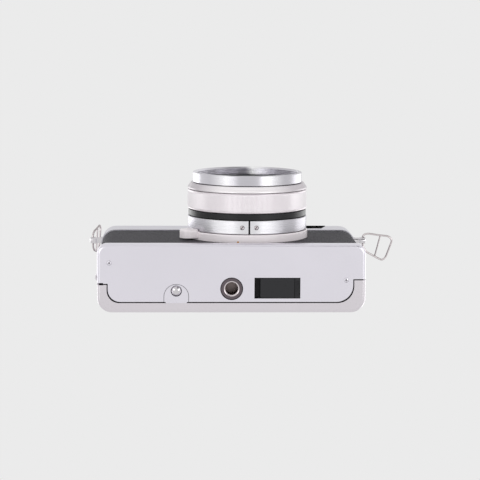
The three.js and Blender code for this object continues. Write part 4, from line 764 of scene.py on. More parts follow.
# %% Top cover
COVER_FRONT_Z = cover_low.z
COVER_BACK_Z = door_high.z + 0.3
cover = body_block("top_cover_shell", 0, COVER_CORNER, COVER_FRONT_Z, cover_high.z)
round_off(cover, at_height(cover_high.z), DECK_EDGE, 10)
cut(cover, body_block("inside", SHEET, COVER_CORNER, COVER_FRONT_Z - 5, cover_high.z - SHEET))
door_side = block("door_side", (-HALF - 5, FRONT - 5, COVER_FRONT_Z - 6),
                  (HALF + 5, BACK + 5, COVER_BACK_Z))
cut(door_side, plate_region(0))
cut(cover, door_side)
cut(cover, rod("lens_bite", LENS_BITE, (LENS_X / MM, LENS_Z / MM), FRONT - 5, FRONT + 3, "Y", 160))
strip_low, strip_high = box_mm("window_panel")


def strip_block(name, grow, y0, y1):
    """The finder's strip: a block whose right end leans out towards the top."""
    piece = block(name, (strip_low.x - grow, y0, strip_low.z - grow),
                  (strip_high.x + grow, y1, strip_high.z + grow))
    pick_edges(piece, lambda a, b: a.x > 0 and b.x > 0 and a.z < 62 and b.z < 62)
    bpy.ops.transform.translate(value=(-2.7 * MM, 0, 0))
    bpy.ops.object.mode_set(mode="OBJECT")
    return piece


cut(cover, strip_block("hole", 0.25, FRONT - 5, FRONT + 2))
eye_low, eye_high = box_mm("eyepiece_frame")
cut(cover, block("hole", (eye_low.x - 0.25, BACK - 3, eye_low.z - 0.25),
                 (eye_high.x + 0.25, BACK + 5, eye_high.z + 0.25)))
deck_holes = {"rewind_bushing": 0.4, "shutter_button": 0.3, "counter_window": 0.2}
for name, gap in deck_holes.items():
    low, high = box_mm(name)
    middle = (low + high) / 2
    cut(cover, rod("hole", (high.x - low.x) / 2 + gap, middle.xy, cover_high.z - 3, cover_high.z + 5))
spool_low, spool_high = box_mm("take_up_spool")
lever_axis = ((spool_low + spool_high) / 2).xy
cut(cover, rod("hole", 2.6, lever_axis, cover_high.z - 3, cover_high.z + 5))
lug_low, lug_high = box_mm("strap_lug_right")
lug_place = ((lug_low.y + lug_high.y) / 2, (lug_low.z + lug_high.z) / 2)
for side in (-1, 1):
    ends = sorted((side * (HALF - 3), side * (HALF + 3)))
    cut(cover, rod("hole", 1.8, lug_place, ends[0], ends[1], "X"))
edge_break(cover, 0.1)
hand_over(cover, "root", shaded_satin_chrome, "satin_chrome", "top_cover")

# %% [markdown]
# ## Leatherette
# The covering is glued into a shallow step, half a millimetre behind the metal's faces. It is one
# strip round the front and both ends, with a round hole for the lens, and one panel on the door.

# %% Front covering
skin = body_block("front_covering", 0.5, COVER_CORNER, plate_high.z + 0.3, COVER_FRONT_Z - 0.3)
cut(skin, body_block("inside", 1.0, COVER_CORNER, 0, 70))
cut(skin, block("behind", (-HALF - 5, 0.35, 0), (0, BACK + 5, 70)))
cut(skin, block("behind", (0, 2.45, 0.5), (HALF + 5, BACK + 5, 69)))
cut(skin, rod("lens_bite", LENS_BITE - 0.05, (LENS_X / MM, LENS_Z / MM), FRONT - 5, FRONT + 3, "Y", 160))
hand_over(skin, "root", leatherette, "leatherette", "front_leatherette")

# %% Door covering
back_skin = block("door_covering", skin_low, skin_high)
round_off(back_skin, along_y(0.2), 1.4, 8)
edge_break(back_skin, 0.15)
hand_over(back_skin, "door", leatherette, "leatherette", "door_leatherette")

# %% [markdown]
# ## The lens rings
# Each ring is turned on a lathe, so it is spun here from its profile. A profile is a list of
# (radius, place along the lens axis). Small chamfers catch the light at every step from one ring to
# the next. The steps come from the solid rings' own boxes.

# %% Ring tools
LENS = (LENS_X / MM, 0.0, LENS_Z / MM)


def ring_span(name):
    """Front and back of a ring along Y, in millimetres."""
    low, high = box_mm(name)
    return low.y, high.y


def chamfered(inner, outer, front, back, size):
    """The profile of a plain ring with a small chamfer on its outer edges."""
    return [(inner, back), (outer - size, back), (outer, back - size), (outer, front + size),
            (outer - size, front), (inner, front), (inner, back)]


BORE = 20.3
print("ring bore:", BORE, "mm")

# %% Base ring and its tab
back = ring_span("base_ring")[1]
ring_front = ring_span("shroud_ring")[1]
base = spun("base_ring_turned", [
    (25.3, back), (28.0, back), (28.0, ring_front + 0.75), (27.7, ring_front + 0.3),
    (BORE, ring_front + 0.3), (BORE, FRONT - 0.6), (25.3, FRONT - 0.6), (25.3, back)], LENS, "Y", 160)
TAB_ANGLE = math.radians(207)
TAB_REACH = 34.4
TAB_HALF_WIDTH = 3.8
tab_out = Vector((math.cos(TAB_ANGLE), 0, math.sin(TAB_ANGLE)))
tab_side = Vector((-tab_out.z, 0, tab_out.x))
tab = block("tab", (26.8, FRONT - 4.4, -TAB_HALF_WIDTH), (TAB_REACH, FRONT - 0.3, TAB_HALF_WIDTH))
round_off(tab, lambda a, b: abs(a.y - b.y) > 1 and a.x > 30, 3.0, 10)
round_off(tab, lambda a, b: a.y < FRONT - 4.3 and b.y < FRONT - 4.3 and (a.x > 27 or b.x > 27), 1.1, 4)
work_on(tab)
tab.data.transform(Matrix.Translation(Vector(LENS) * MM)
                   @ Matrix(((tab_out.x, 0, tab_side.x), (0, 1, 0), (tab_out.z, 0, tab_side.z))).to_4x4())
cut(tab, rod("clearance", 27.9, (LENS[0], LENS[2]), FRONT - 8, ring_front, "Y", 160))
combine(base, tab, "UNION")
edge_break(base, 0.08)
hand_over(base, "base_ring", pearl_ring, "anodised_silver", "base_ring")
INDEX_TURN = -10.5
dot = spun("index_dot", [
    (0, -28.06), (0.42, -28.06), (0.52, -27.98), (0.52, -27.7), (0, -27.7), (0, -28.06)],
    (LENS[0], back - 0.75, LENS[2]), "Z", 32)
bpy.ops.object.mode_set(mode="EDIT")
bpy.ops.mesh.select_all(action="SELECT")
bpy.ops.transform.rotate(value=math.radians(INDEX_TURN), orient_axis="Y",
                         center_override=Vector(LENS) * MM)
bpy.ops.object.mode_set(mode="OBJECT")
print("index dot at", [round(c / MM, 2) for c in dot.data.vertices[0].co])
hand_over(dot, "base_ring", orange_paint, "anodised_silver")

# %% Shroud with its slot and clamp screws
front, back = ring_span("shroud_ring")
shroud = spun("shroud_turned", chamfered(BORE, 27.5, front, back, 0.25), LENS, "Y", 160)
cut(shroud, block("slot", (LENS[0] - 0.4, front - 5, LENS[2] - 40),
                  (LENS[0] + 0.4, back + 5, LENS[2])))
HEAD_SINK = 0.4
SLOT_TURN = 50
clamp_screws = {}
for name in ("clamp_screw_left", "clamp_screw_right"):
    low, high = box_mm(name)
    place = ((low.x + high.x) / 2, (low.y + high.y) / 2)
    clamp_screws[name] = (place, low.z, high.z)
    cut(shroud, rod("hole", 1.05, place, LENS[2] - 40, high.z + 0.3, sides=48))
edge_break(shroud, 0.06)
hand_over(shroud, "root", shroud_metal, "satin_chrome", "shroud_ring")
for name, (place, bottom, top) in clamp_screws.items():
    head = bottom + HEAD_SINK
    screw = rod(name + "_turned", 0.9, place, head, top, sides=48)
    round_off(screw, at_height(head), 0.2, 3)
    slot = block("slot", (place[0] - 1.5, place[1] - 0.2, head - 1),
                 (place[0] + 1.5, place[1] + 0.2, head + 0.45))
    work_on(slot)
    bpy.ops.object.mode_set(mode="EDIT")
    bpy.ops.transform.rotate(value=math.radians(SLOT_TURN), orient_axis="Z",
                             center_override=Vector((*place, head)) * MM)
    bpy.ops.object.mode_set(mode="OBJECT")
    cut(screw, slot)
    hand_over(screw, "root", pale_steel_and_highlight, "dark_steel", name)
    # The inside of the slot gets darker steel: painted shade in the slot.
    two_tone(screw, dark_steel, lambda m: m.z > head + 0.25 and (m.xy - Vector(place)).length < 0.85)

# %% Index band
front, back = ring_span("index_band")
band = spun("index_band_turned", chamfered(BORE, 27.2, front, back, 0.15), LENS, "Y", 160)
hand_over(band, "root", black_band, "anodised_black", "index_band")

# %% [markdown]
# The focus ring is knurled with straight ribs so that fingers grip it. There are 300 ribs, a little
# over half a millimetre apart. The ring is spun with two steps for each rib, and every second row of points
# between the two smooth edges is then drawn in by 0.2 mm, as the knurling wheel would press it.

# %% Focus ring
def press_ribs(piece, ribs, across, beyond, shrink, centre):
    """Draws in every second row of the points that lie beyond a radius.

    across gives a point's two distances from the ring's axis, and centre is in millimetres.
    """
    work_on(piece)
    bpy.ops.object.mode_set(mode="EDIT")
    bpy.ops.mesh.select_mode(type="VERT")
    bpy.ops.mesh.select_all(action="DESELECT")
    mesh = bmesh.from_edit_mesh(piece.data)
    for vert in mesh.verts:
        a, b = across(vert.co / MM)
        turn = math.atan2(a, b) / math.tau * 2 * ribs
        vert.select = math.hypot(a, b) > beyond and round(turn) % 2 == 1
    mesh.select_flush_mode()
    bmesh.update_edit_mesh(piece.data)
    bpy.ops.transform.resize(value=shrink, center_override=Vector(centre) * MM)
    bpy.ops.object.mode_set(mode="OBJECT")


FOCUS_RIBS = 300
front, back = ring_span("focus_ring")
knurl = spun("focus_ring_knurled", [
    (BORE, back), (27.2, back), (27.45, back - 0.3), (27.45, back - 0.75), (KNURL_RADIUS, back - 0.95),
    (KNURL_RADIUS, front + 0.95), (27.45, front + 0.75), (27.45, front + 0.3), (27.2, front), (BORE, front),
    (BORE, back)], LENS, "Y", 2 * FOCUS_RIBS)
drawn_in = 1 - KNURL_DEPTH / KNURL_RADIUS
press_ribs(knurl, FOCUS_RIBS, lambda p: (p.x - LENS[0], p.z - LENS[2]), KNURL_RADIUS - 0.05,
           (drawn_in, 1, drawn_in), LENS)
hand_over(knurl, "focus_ring", knurl_metal, "anodised_silver", "focus_ring", angle=20)

# %% Bevel ring
front, back = ring_span("bevel_ring")
bevel = spun("bevel_ring_turned", [
    (22.3, back), (27.4, back), (27.6, back - 0.2), (27.6, back - 0.75), (27.5, back - 0.9),
    (26.3, front + 0.12), (26.1, front), (22.3, front), (22.3, back)], LENS, "Y", 160)
hand_over(bevel, "bevel_ring", bevel_metal, "anodised_silver", "bevel_ring")

# %% [markdown]
# The filter ring is a thin-walled cup with a female thread of 0.75 mm pitch just inside its rim. The
# real thread is a helix: here each turn is a closed groove, which looks the same from any side and
# keeps the ring one clean spun profile. The inside is part silver and part black.

# %% Filter ring
front, back = ring_span("filter_ring")
FILTER_PITCH = 0.75
thread = []
for turn in range(4):
    start = front + 0.45 + FILTER_PITCH * turn
    thread += [(23.85, start), (23.5, start + 0.36), (23.85, start + 0.72)]
FLOOR = ring_span("inner_ring")[1] + 0.3
filter_ring = spun("filter_ring_turned", [
    (18.3, back), (25.1, back), (25.2, back - 0.1), (25.2, front + 0.3), (25.0, front + 0.06),
    (24.8, front), (24.2, front), (23.95, front + 0.15), *thread, (23.85, FLOOR), (18.3, FLOOR),
    (18.3, back)], LENS, "Y", 160)
hand_over(filter_ring, "lens_unit", bright_ring, "satin_chrome", "filter_ring")

# %% Inner ring
front, back = ring_span("inner_ring")
meter_low, meter_high = box_mm("meter_window")
meter_middle = (meter_low + meter_high) / 2
inner = spun("inner_ring_turned", [
    (15.3, back), (23.5, back), (23.5, front + 0.15), (23.35, front), (16.8, front), (16.5, front + 0.1),
    (15.3, back - 0.2), (15.3, back)], LENS, "Y", 128)
cut(inner, rod("hole", 2.2, (meter_middle.x, meter_middle.z), front - 5, back + 5, "Y", 64))
hand_over(inner, "lens_unit", black_band, "anodised_black", "inner_ring")
meter = spun("meter_lens", [
    (0, meter_high.y), (2.0, meter_high.y), (2.0, meter_low.y + 0.12), (1.7, meter_low.y + 0.02),
    (0, meter_low.y)], (meter_middle.x, 0, meter_middle.z), "Y", 48)
hand_over(meter, "lens_unit", finder_glass, "glass", "meter_window")

# %% Front glass
front, back = ring_span("front_glass")
GLASS_RADIUS = 14.2
GLASS_BULGE = 3.0
glass_profile = [(0, back), (GLASS_RADIUS, back)]
for step in range(25):
    share = 1 - step / 24
    bulge = GLASS_BULGE * (1 - share * share)
    glass_profile.append((GLASS_RADIUS * share, front + GLASS_BULGE - bulge))
glass = spun("front_element", glass_profile, LENS, "Y", 96)
hand_over(glass, "lens_unit", coated_glass, "glass", "front_glass")

# %% [markdown]
# ## Fittings in the bottom plate
# A threaded bush takes a tripod screw, a domed button frees the film for rewinding, a sliding
# cover closes the battery chamber, and two small cross-slot screws hold the plate. These are what
# one sees from below, so each gets its real chamfers, threads and slots.

# %% Tripod socket
SOCKET_PITCH = 1.27
place = (*socket_place, 0)
thread = []
for turn in range(6):
    start = 0.6 + SOCKET_PITCH * turn
    thread += [(2.78, start), (3.15, start + 0.2), (2.78, start + 1.0)]
socket = spun("tripod_socket_turned", [
    (0, 8.5), (4.1, 8.5), (4.1, 1.6), (4.8, 1.0), (4.8, 0.15), (4.65, 0.0), (3.45, 0.0), (3.3, 0.06),
    (2.85, 0.5), *thread, (2.78, 8.3), (0, 8.3), (0, 8.5)], place, "Z", 96)
hand_over(socket, "root", dark_steel, "dark_steel", "tripod_socket")
# The chamfer at the socket's mouth is set bright: a painted highlight.
two_tone(socket, pale_steel_and_highlight, lambda m: (m.xy - socket_place).length < 3.44 and m.z < 0.55)
two_tone(socket, thread_steel, lambda m: (m.xy - socket_place).length < 3.44 and m.z >= 0.55)

# %% Cross-slot screws
def cross_slot(screw, spot, reach, half_width, z0, z1):
    """Two slots that cross at a spot, as a cross-head driver needs."""
    for wide, deep in ((reach, half_width), (half_width, reach)):
        cut(screw, block("slot", (spot[0] - wide, spot[1] - deep, z0),
                         (spot[0] + wide, spot[1] + deep, z1)))


for name, spot in zip(("plate_screw_left", "plate_screw_right"), screw_places):
    screw = spun(name + "_turned", [
        (0, 0.04), (0.85, 0.05), (0.97, 0.12), (1.0, 0.3), (1.0, 0.5), (0.7, 1.0), (0.7, 5.0), (0, 5.0)],
        (*spot, 0), "Z", 48)
    cross_slot(screw, spot, 0.55, 0.13, -1, 0.45)
    hand_over(screw, "root", chrome_plate, "dark_steel", name)
    # The cross slots get darker steel: painted shade in the slots.
    two_tone(screw, dark_steel, lambda m: (m.xy - spot).length < 0.6 and m.z > 0.1)

# %% Release seat and button
x, y = release_place
seat = rod("release_seat", SEAT_RADIUS, seat_centre, 0.05, 1.0, sides=96)
seat_back = block("seat_back", (seat_low.x, seat_centre[1], 0.05), (seat_high.x, seat_high.y, 1.0))
combine(seat, seat_back, "UNION")
cut(seat, rod("hole", 2.5, (x, y), -5, 10, sides=64))
edge_break(seat, 0.12)
hand_over(seat, "root", chrome_plate, "satin_chrome", "release_button_seat")
DOME_RADIUS = 2.2
dome = [(0, 3.4), (DOME_RADIUS, 3.4)]
for step in range(17):
    share = 1 - step / 16
    dome.append((DOME_RADIUS * share, 0.05 + 0.8 * share ** 2.4))
button = spun("release_button_turned", dome, (x, y, 0), "Z", 64)
hand_over(button, "release_button", bright_chrome, "bright_chrome", "rewind_release_button")

# %% Battery cover
battery = block("battery_cover_moulded", battery_low, battery_high)
round_off(battery, upright, 0.5, 4)
grip_x = battery_high.x + 0.3 - 2.5
cut(battery, block("groove", (grip_x - 0.15, battery_low.y - 1, -1),
                   (grip_x + 0.15, battery_high.y + 1, battery_low.z + 0.3)))
for step in range(5):
    rib_x = grip_x + 0.55 + 0.36 * step
    cut(battery, block("rib_gap", (rib_x - 0.09, battery_low.y + 1.0, -1),
                       (rib_x + 0.09, battery_high.y - 1.0, battery_low.z + 0.14)))
arrow_x, arrow_y = grip_x - 3.6, battery_low.y + 3.4
arrow = block("arrow", (arrow_x - 0.7, arrow_y - 0.6, battery_low.z - 0.5),
              (arrow_x + 0.7, arrow_y + 0.6, battery_low.z + 0.12))
pick_edges(arrow, lambda a, b: upright(a, b) and a.x > arrow_x)
bpy.ops.mesh.merge(type="COLLAPSE")
bpy.ops.object.mode_set(mode="OBJECT")
make_even(arrow)
cut(battery, arrow)
edge_break(battery, 0.08)
hand_over(battery, "battery_cover", black_plastic, "black_plastic", "battery_cover")
# The groove by the grip gets the darker copy: painted shade in the groove.
two_tone(battery, shaded_black_plastic, lambda m: abs(m.x - grip_x) < 0.14)

# %% [markdown]
# ## Strap lugs and rings
# A lug is a turned post with a slightly wider head, drilled across. The ring is spring wire 0.9 mm
# thick, bent into a loop with rounded corners, and a second wire crosses it to spread the strap.
# A poly curve with a round bevel follows the bent wire's centre line.

# %% Lugs
HOLE_FROM_TIP = 1.4
for side, name in ((-1, "strap_lug_left"), (1, "strap_lug_right")):
    low, high = box_mm(name)
    tip = max(abs(low.x), abs(high.x))
    root = min(abs(low.x), abs(high.x))
    profile = [(0, root), (1.6, root), (1.6, HALF + 0.15), (1.35, HALF + 0.4), (1.35, tip - 3.1),
               (1.6, tip - 2.8), (1.6, tip - 0.6), (1.45, tip - 0.2), (1.1, tip), (0, tip)]
    lug = spun(name + "_turned", [(r, side * t) for r, t in profile], (0, *lug_place), "X", 64)
    hole_place = (side * (tip - HOLE_FROM_TIP), lug_place[1])
    cut(lug, rod("hole", 0.8, hole_place, lug_place[0] - 5, lug_place[0] + 5, "Y", 48))
    edge_break(lug, 0.08)
    hand_over(lug, "root", bright_chrome, "bright_chrome", name)
LUG_TIP = tip

# %% Strap rings
RING_CORNERS = [(0, -2.6), (2.4, -4.2), (7.4, -5.2), (12.4, -6.5), (14.1, -5.3), (13.2, -2.3),
                (11.1, 4.1), (9.4, 6.2), (7.1, 5.9), (2.1, 5.0), (0, 3.1)]
BAR_MIDDLE = Vector((7.1, 0.1))
BAR_RUN = Vector((-2.6, 11.2))
WIRE = 0.45
LEFT_TILT = math.radians(13)


def rounded_corners(points, radius):
    """Replaces each corner of a closed path by a short arc."""
    rounded = []
    count = len(points)
    for i, point in enumerate(points):
        before, after = points[i - 1], points[(i + 1) % count]
        reach = min(radius, (before - point).length / 2.05, (after - point).length / 2.05)
        start = point + (before - point).normalized() * reach
        end = point + (after - point).normalized() * reach
        for step in range(9):
            t = step / 8
            rounded.append(start * (1 - t) ** 2 + point * 2 * t * (1 - t) + end * t ** 2)
    return rounded


def wire(name, points, radius, closed):
    """A round wire along points given in millimetres, made a mesh."""
    deselect()
    path = bpy.data.curves.new(name, "CURVE")
    path.dimensions = "3D"
    path.bevel_depth = radius * MM
    path.bevel_resolution = 5
    path.use_fill_caps = not closed
    spline = path.splines.new("POLY")
    spline.points.add(len(points) - 1)
    for target, point in zip(spline.points, points):
        target.co = (*(point * MM), 1)
    spline.use_cyclic_u = closed
    piece = bpy.data.objects.new(name, path)
    bpy.context.collection.objects.link(piece)
    work_on(piece)
    bpy.ops.object.convert(target="MESH")
    piece = bpy.context.object
    make_even(piece)
    return piece


def strap_ring(name, body, lean, side):
    """The loop lies in a plane through the lug's hole. lean is its drift sideways."""
    hole = Vector((side * (LUG_TIP - HOLE_FROM_TIP), lug_place[0], lug_place[1]))

    def placed(x, y):
        local = Vector((x, y + lean * x, 0))
        if side < 0:
            local = Vector((local.x * math.sin(LEFT_TILT), local.y, local.x * math.cos(LEFT_TILT)))
        return hole + local

    corners = rounded_corners([placed(x, y) for x, y in RING_CORNERS], 1.3)
    loop = wire(name + "_loop", corners, WIRE, True)
    half_run = BAR_RUN.normalized() * 5.2
    ends = [placed(*(BAR_MIDDLE - half_run)), placed(*(BAR_MIDDLE + half_run))]
    bar = wire(name + "_bar", ends, WIRE * 0.85, False)
    combine(loop, bar, "UNION")
    loop.name = name + "_wire"
    hand_over(loop, body, wire_steel, "bright_chrome", name, angle=50)


strap_ring("strap_ring_right", "ring_right", 0.36, 1)
strap_ring("strap_ring_left", "ring_left", 0.06, -1)

# %% [markdown]
# ## The finder's front and the eyepiece
# Three windows look out of one glossy black strip: the large viewfinder window, a frosted window
# that lights the bright frame, and the small rangefinder window. Each pane is bonded into a cut-out
# and sits 0.1 mm below the strip. Thin bevels keep the edges from looking like paper.

# %% Frosted acrylic
frosted, tree, shader, mm = start_finish("frosted_ribbed_acrylic", "AEB2BC", 0.0, 0.38)
ribs = add_node(tree, "ShaderNodeTexWave", {"wave_type": "BANDS", "bands_direction": "X"},
                {"Vector": mm, "Scale": 0.31, "Distortion": 0.0})
bump = add_node(tree, "ShaderNodeBump", None,
                {"Height": ribs.outputs["Fac"], "Strength": 0.8, "Distance": 0.15 * MM})
tree.links.new(bump.outputs["Normal"], shader.inputs["Normal"])
print("ribs one millimetre apart on", frosted.name)

# %% Window strip and panes
strip = strip_block("window_strip", 0, strip_low.y, strip_high.y)
cut(strip, rod("lens_bite", 28.6, (LENS[0], LENS[2]), FRONT - 5, FRONT + 5, "Y", 160))
panes = {"viewfinder_window": finder_glass, "illumination_window": frosted,
         "rangefinder_window": finder_glass}
for name in panes:
    low, high = box_mm(name)
    hole = block("hole", (low.x - 0.25, FRONT - 5, low.z - 0.25), (high.x + 0.25, FRONT + 5, high.z + 0.25))
    round_off(hole, along_y(1), 0.6, 4)
    cut(strip, hole)
edge_break(strip, 0.12)
hand_over(strip, "root", gloss_black, "black_gloss", "window_panel")
for name, finish in panes.items():
    low, high = box_mm(name)
    pane = block(name + "_pane", low, high)
    round_off(pane, along_y(0.3), 0.5, 4)
    edge_break(pane, 0.15)
    hand_over(pane, "root", finish, "glass", name)

# %% Eyepiece
frame_piece = block("eyepiece_moulded", eye_low, eye_high)
round_off(frame_piece, along_y(1), 0.9, 6)
EYE_WALL = 1.2
tunnel = block("tunnel", (eye_low.x + EYE_WALL, eye_low.y - 1, eye_low.z + EYE_WALL),
               (eye_high.x - EYE_WALL, eye_high.y + 1, eye_high.z - EYE_WALL))
round_off(tunnel, along_y(1), 0.7, 6)
cut(frame_piece, tunnel)
edge_break(frame_piece, 0.25)
hand_over(frame_piece, "root", shaded_black_plastic, "black_plastic", "eyepiece_frame")
low, high = box_mm("eyepiece_glass")
eye_glass = block("eyepiece_lens", (low.x + 0.02, low.y, low.z + 0.02),
                  (high.x - 0.02, high.y, high.z - 0.02))
round_off(eye_glass, along_y(0.5), 0.5, 4)
edge_break(eye_glass, 0.2)
hand_over(eye_glass, "root", finder_glass, "glass", "eyepiece_glass")

# %% [markdown]
# ## Controls on the deck
# The rewind knob is a low knurled disc with a crank that folds into its top. The film advance is a
# pressed lever with a moulded tip. Flat parts such as these start from an outline: its points are
# extruded one after another, the loop is filled, and the face is extruded upwards.

# %% Flat plates from an outline
def arc(centre, radius, start, end, steps=16):
    """Points on an arc between two angles in degrees."""
    angles = [math.radians(start + (end - start) * i / steps) for i in range(steps + 1)]
    return [Vector((centre[0] + radius * math.cos(a), centre[1] + radius * math.sin(a), 0)) for a in angles]


def flat_plate(name, outline, z0, z1):
    """Fills an outline, given in millimetres, and extrudes it upwards."""
    piece = traced(name, [Vector((p.x, p.y, z0)) * MM for p in outline])
    bpy.ops.mesh.remove_doubles(threshold=2e-6)
    bpy.ops.mesh.edge_face_add()
    bpy.ops.mesh.extrude_region_move(TRANSFORM_OT_translate={"value": Vector((0, 0, (z1 - z0) * MM))})
    bpy.ops.object.mode_set(mode="OBJECT")
    make_even(piece)
    return piece


def turn_about(piece, degrees, centre):
    """Turns a piece's mesh about an upright axis through centre."""
    place = Vector((centre[0], centre[1], 0)) * MM
    piece.data.transform(Matrix.Translation(place) @ Matrix.Rotation(math.radians(degrees), 4, "Z")
                         @ Matrix.Translation(-place))


print("tools: arc, flat_plate, turn_about")

# %% Rewind knob
knob_low, knob_high = box_mm("rewind_knob")
knob_place = ((knob_low + knob_high) / 2).xy
deck = knob_low.z
top = knob_high.z
KNOB_RIBS = 72
knob = spun("rewind_knob_turned", [
    (0, deck + 1.2), (2.5, deck + 1.2), (2.5, deck), (7.9, deck), (8.25, deck + 0.3), (8.3, deck + 0.6),
    (8.5, deck + 0.75), (8.5, top - 0.7), (8.3, top - 0.55), (8.2, top - 0.25), (7.9, top), (0, top)],
    (*knob_place, 0), "Z", 2 * KNOB_RIBS)
press_ribs(knob, KNOB_RIBS, lambda p: (p.y - knob_place.y, p.x - knob_place.x), 8.45,
           (0.965, 0.965, 1), (*knob_place, 0))
crank_high = box_mm("crank_arm")[1]
cut(knob, block("slot", (knob_place.x - 9, knob_place.y - 2.6, top - 1.5),
                (knob_place.x + 9, knob_place.y + 2.6, top + 1)))
hand_over(knob, "rewind_unit", shaded_satin_chrome, "satin_chrome", "rewind_knob", angle=25)

# %% Crank
pin_x = knob_place.x - 6
arm_bottom = top - 1.2
near, far = pin_x + 1.6, crank_high.x - 2.0
outline = (arc((far, knob_place.y + 0.3), 2.0, 0, 90, 8)
           + arc((near, knob_place.y + 0.2), 2.1, 90, 180, 8)
           + arc((near, knob_place.y - 0.2), 2.1, 180, 270, 8)
           + arc((far, knob_place.y - 0.3), 2.0, 270, 360, 8))
crank = flat_plate("crank_pressed", outline, arm_bottom, arm_bottom + 0.9)
slit = (arc((pin_x + 12.2, knob_place.y), 0.9, -90, 90, 10)
        + arc((pin_x + 6.0, knob_place.y), 0.9, 90, 270, 10))
cut(crank, flat_plate("window", slit, arm_bottom - 1, arm_bottom + 2))
grip_profile = [(0, -1.3), (1.3, -1.3), (1.5, -1.1), (1.5, 0.5), (0, 0.5)]
grip = spun("grip", lifted(grip_profile, arm_bottom), (crank_high.x - 2.1, knob_place.y, 0), "Z", 40)
combine(crank, grip, "UNION")
edge_break(crank, 0.16)
pivot_profile = [(0, 0.5), (1.1, 0.5), (1.1, 0.95), (0.9, 1.05), (0, 1.1)]
pivot = spun("pivot", lifted(pivot_profile, arm_bottom), (near, knob_place.y, 0), "Z", 40)
cut(pivot, block("slot", (pin_x - 1, knob_place.y - 0.13, arm_bottom + 0.85),
                 (pin_x + 4, knob_place.y + 0.13, arm_bottom + 2)))
combine(crank, pivot, "UNION")
hand_over(crank, "crank", bright_chrome, "bright_chrome", "crank_arm")

# %% Advance lever
axis = Vector(lever_axis)
lever_z = deck + 0.3
LEVER_TURN = 27


def from_axis(*points):
    """Points of an outline, counted from the lever's axis."""
    return [axis.to_3d() + Vector((x, y, 0)) for x, y in points]


arm = arc(axis, 7.5, 50, 310, 40) + from_axis(
    (7.2, -4.1), (9.5, -3.15), (12, -3.0), (15.7, -3.0), (15.7, 3.0), (12, 3.0), (9.5, 3.15), (7.2, 4.1))
lever = flat_plate("advance_lever_pressed", arm, lever_z, lever_z + 1.4)
edge_break(lever, 0.3, segments=3)
tongue = block("tongue", (axis.x + 14, axis.y - 1, lever_z + 0.4), (axis.x + 22, axis.y + 1, lever_z + 1.0))
combine(lever, tongue, "UNION")
cap_profile = [(0, -5.0), (2.2, -5.0), (2.2, 0), (4.0, 0.2), (4.6, 1.2), (4.6, 1.85), (4.4, 2.05),
               (3.9, 2.1), (3.7, 1.95), (0, 1.9)]
cap = spun("cap", lifted(cap_profile, lever_z), (*axis, 0), "Z", 96)
combine(lever, cap, "UNION")
for side in (-1, 1):
    cut(lever, rod("key_hole", 0.45, (axis.x + side * 2.3, axis.y), lever_z + 1.5, lever_z + 4, sides=24))
turn_about(lever, LEVER_TURN, axis)
hand_over(lever, "lever", shaded_satin_chrome, "satin_chrome", "advance_lever")

# %% Lever tip
tip_high = box_mm("lever_tip")[1]
outline = (from_axis((16, -3)) + arc((axis.x + 23.2, axis.y - 1.2), 1.8, -90, 0, 8)
           + arc((axis.x + 22.7, axis.y + 1.5), 2.3, 0, 90, 8) + from_axis((19, 3.5), (16, 3)))
tip_piece = flat_plate("lever_tip_moulded", outline, deck, tip_high.z)
edge_break(tip_piece, 0.45, segments=4)
for step in range(5):
    rib = axis.x + 18.2 + 1.0 * step
    cut(tip_piece, block("rib_gap", (rib - 0.22, axis.y - 2.2, tip_high.z - 0.18),
                         (rib + 0.22, axis.y + 2.4, tip_high.z + 1)))
cut(tip_piece, block("pocket", (axis.x + 10, axis.y - 1.25, lever_z + 0.15),
                     (axis.x + 22.3, axis.y + 1.25, lever_z + 1.25)))
turn_about(tip_piece, LEVER_TURN, axis)
hand_over(tip_piece, "lever", black_plastic, "black_plastic", "lever_tip")

# %% [markdown]
# The shutter button is a polished pin in a dished collar. It is drilled for a cable release. The
# frame counter beside it is a black dial with white numbers, seen through a small domed window. The
# numbers are text made into a mesh, and each sits a hair above the dial.

# %% Shutter button
low, high = box_mm("shutter_button")
place = ((low + high) / 2).xy
top = high.z
button = spun("shutter_button_turned", [
    (0, low.z), (1.6, low.z), (1.6, deck - 0.8), (3.2, deck - 0.8), (3.2, top - 0.7), (3.05, top - 0.3),
    (2.7, top - 0.04), (2.4, top), (2.0, top - 0.06), (1.3, top - 0.3), (1.05, top - 0.4),
    (0.95, top - 0.6), (0.95, top - 2.5), (0, top - 2.5)], (*place, 0), "Z", 72)
hand_over(button, "shutter_button", bright_chrome, "bright_chrome", "shutter_button")
low, high = box_mm("button_collar")
collar = spun("button_collar_turned", [
    (3.5, low.z), (5.2, low.z), (5.2, low.z + 0.4), (5.0, low.z + 1.3), (4.75, high.z - 0.1),
    (4.5, high.z), (4.2, high.z), (3.7, high.z - 0.35), (3.5, high.z - 0.6), (3.5, low.z)],
    (*place, 0), "Z", 72)
hand_over(collar, "root", bright_chrome, "bright_chrome", "button_collar")

# %% Counter dial
low, high = box_mm("counter_dial")
dial_place = ((low + high) / 2).xy
dial = spun("counter_dial_moulded", [
    (0, low.z), (1.5, low.z), (1.5, high.z - 0.8), (6.5, high.z - 0.8), (6.5, high.z), (0, high.z)],
    (*dial_place, 0), "Z", 96)
hand_over(dial, "counter", shaded_black_plastic, "black_plastic", "counter_dial")


def printed(name, words, size, turn, place):
    """Printed words: a text made a mesh, turned by a matrix and set at a place in millimetres."""
    deselect()
    bpy.ops.object.text_add()
    text = bpy.context.object
    text.name = name
    text.data.body = words
    text.data.size = size * MM
    text.data.align_x = "CENTER"
    text.data.align_y = "CENTER"
    text.data.resolution_u = 3
    text.data.extrude = 0.012 * MM
    bpy.ops.object.convert(target="MESH")
    text = bpy.context.object
    text.data.transform(Matrix.Translation(Vector(place) * MM) @ turn)
    return text


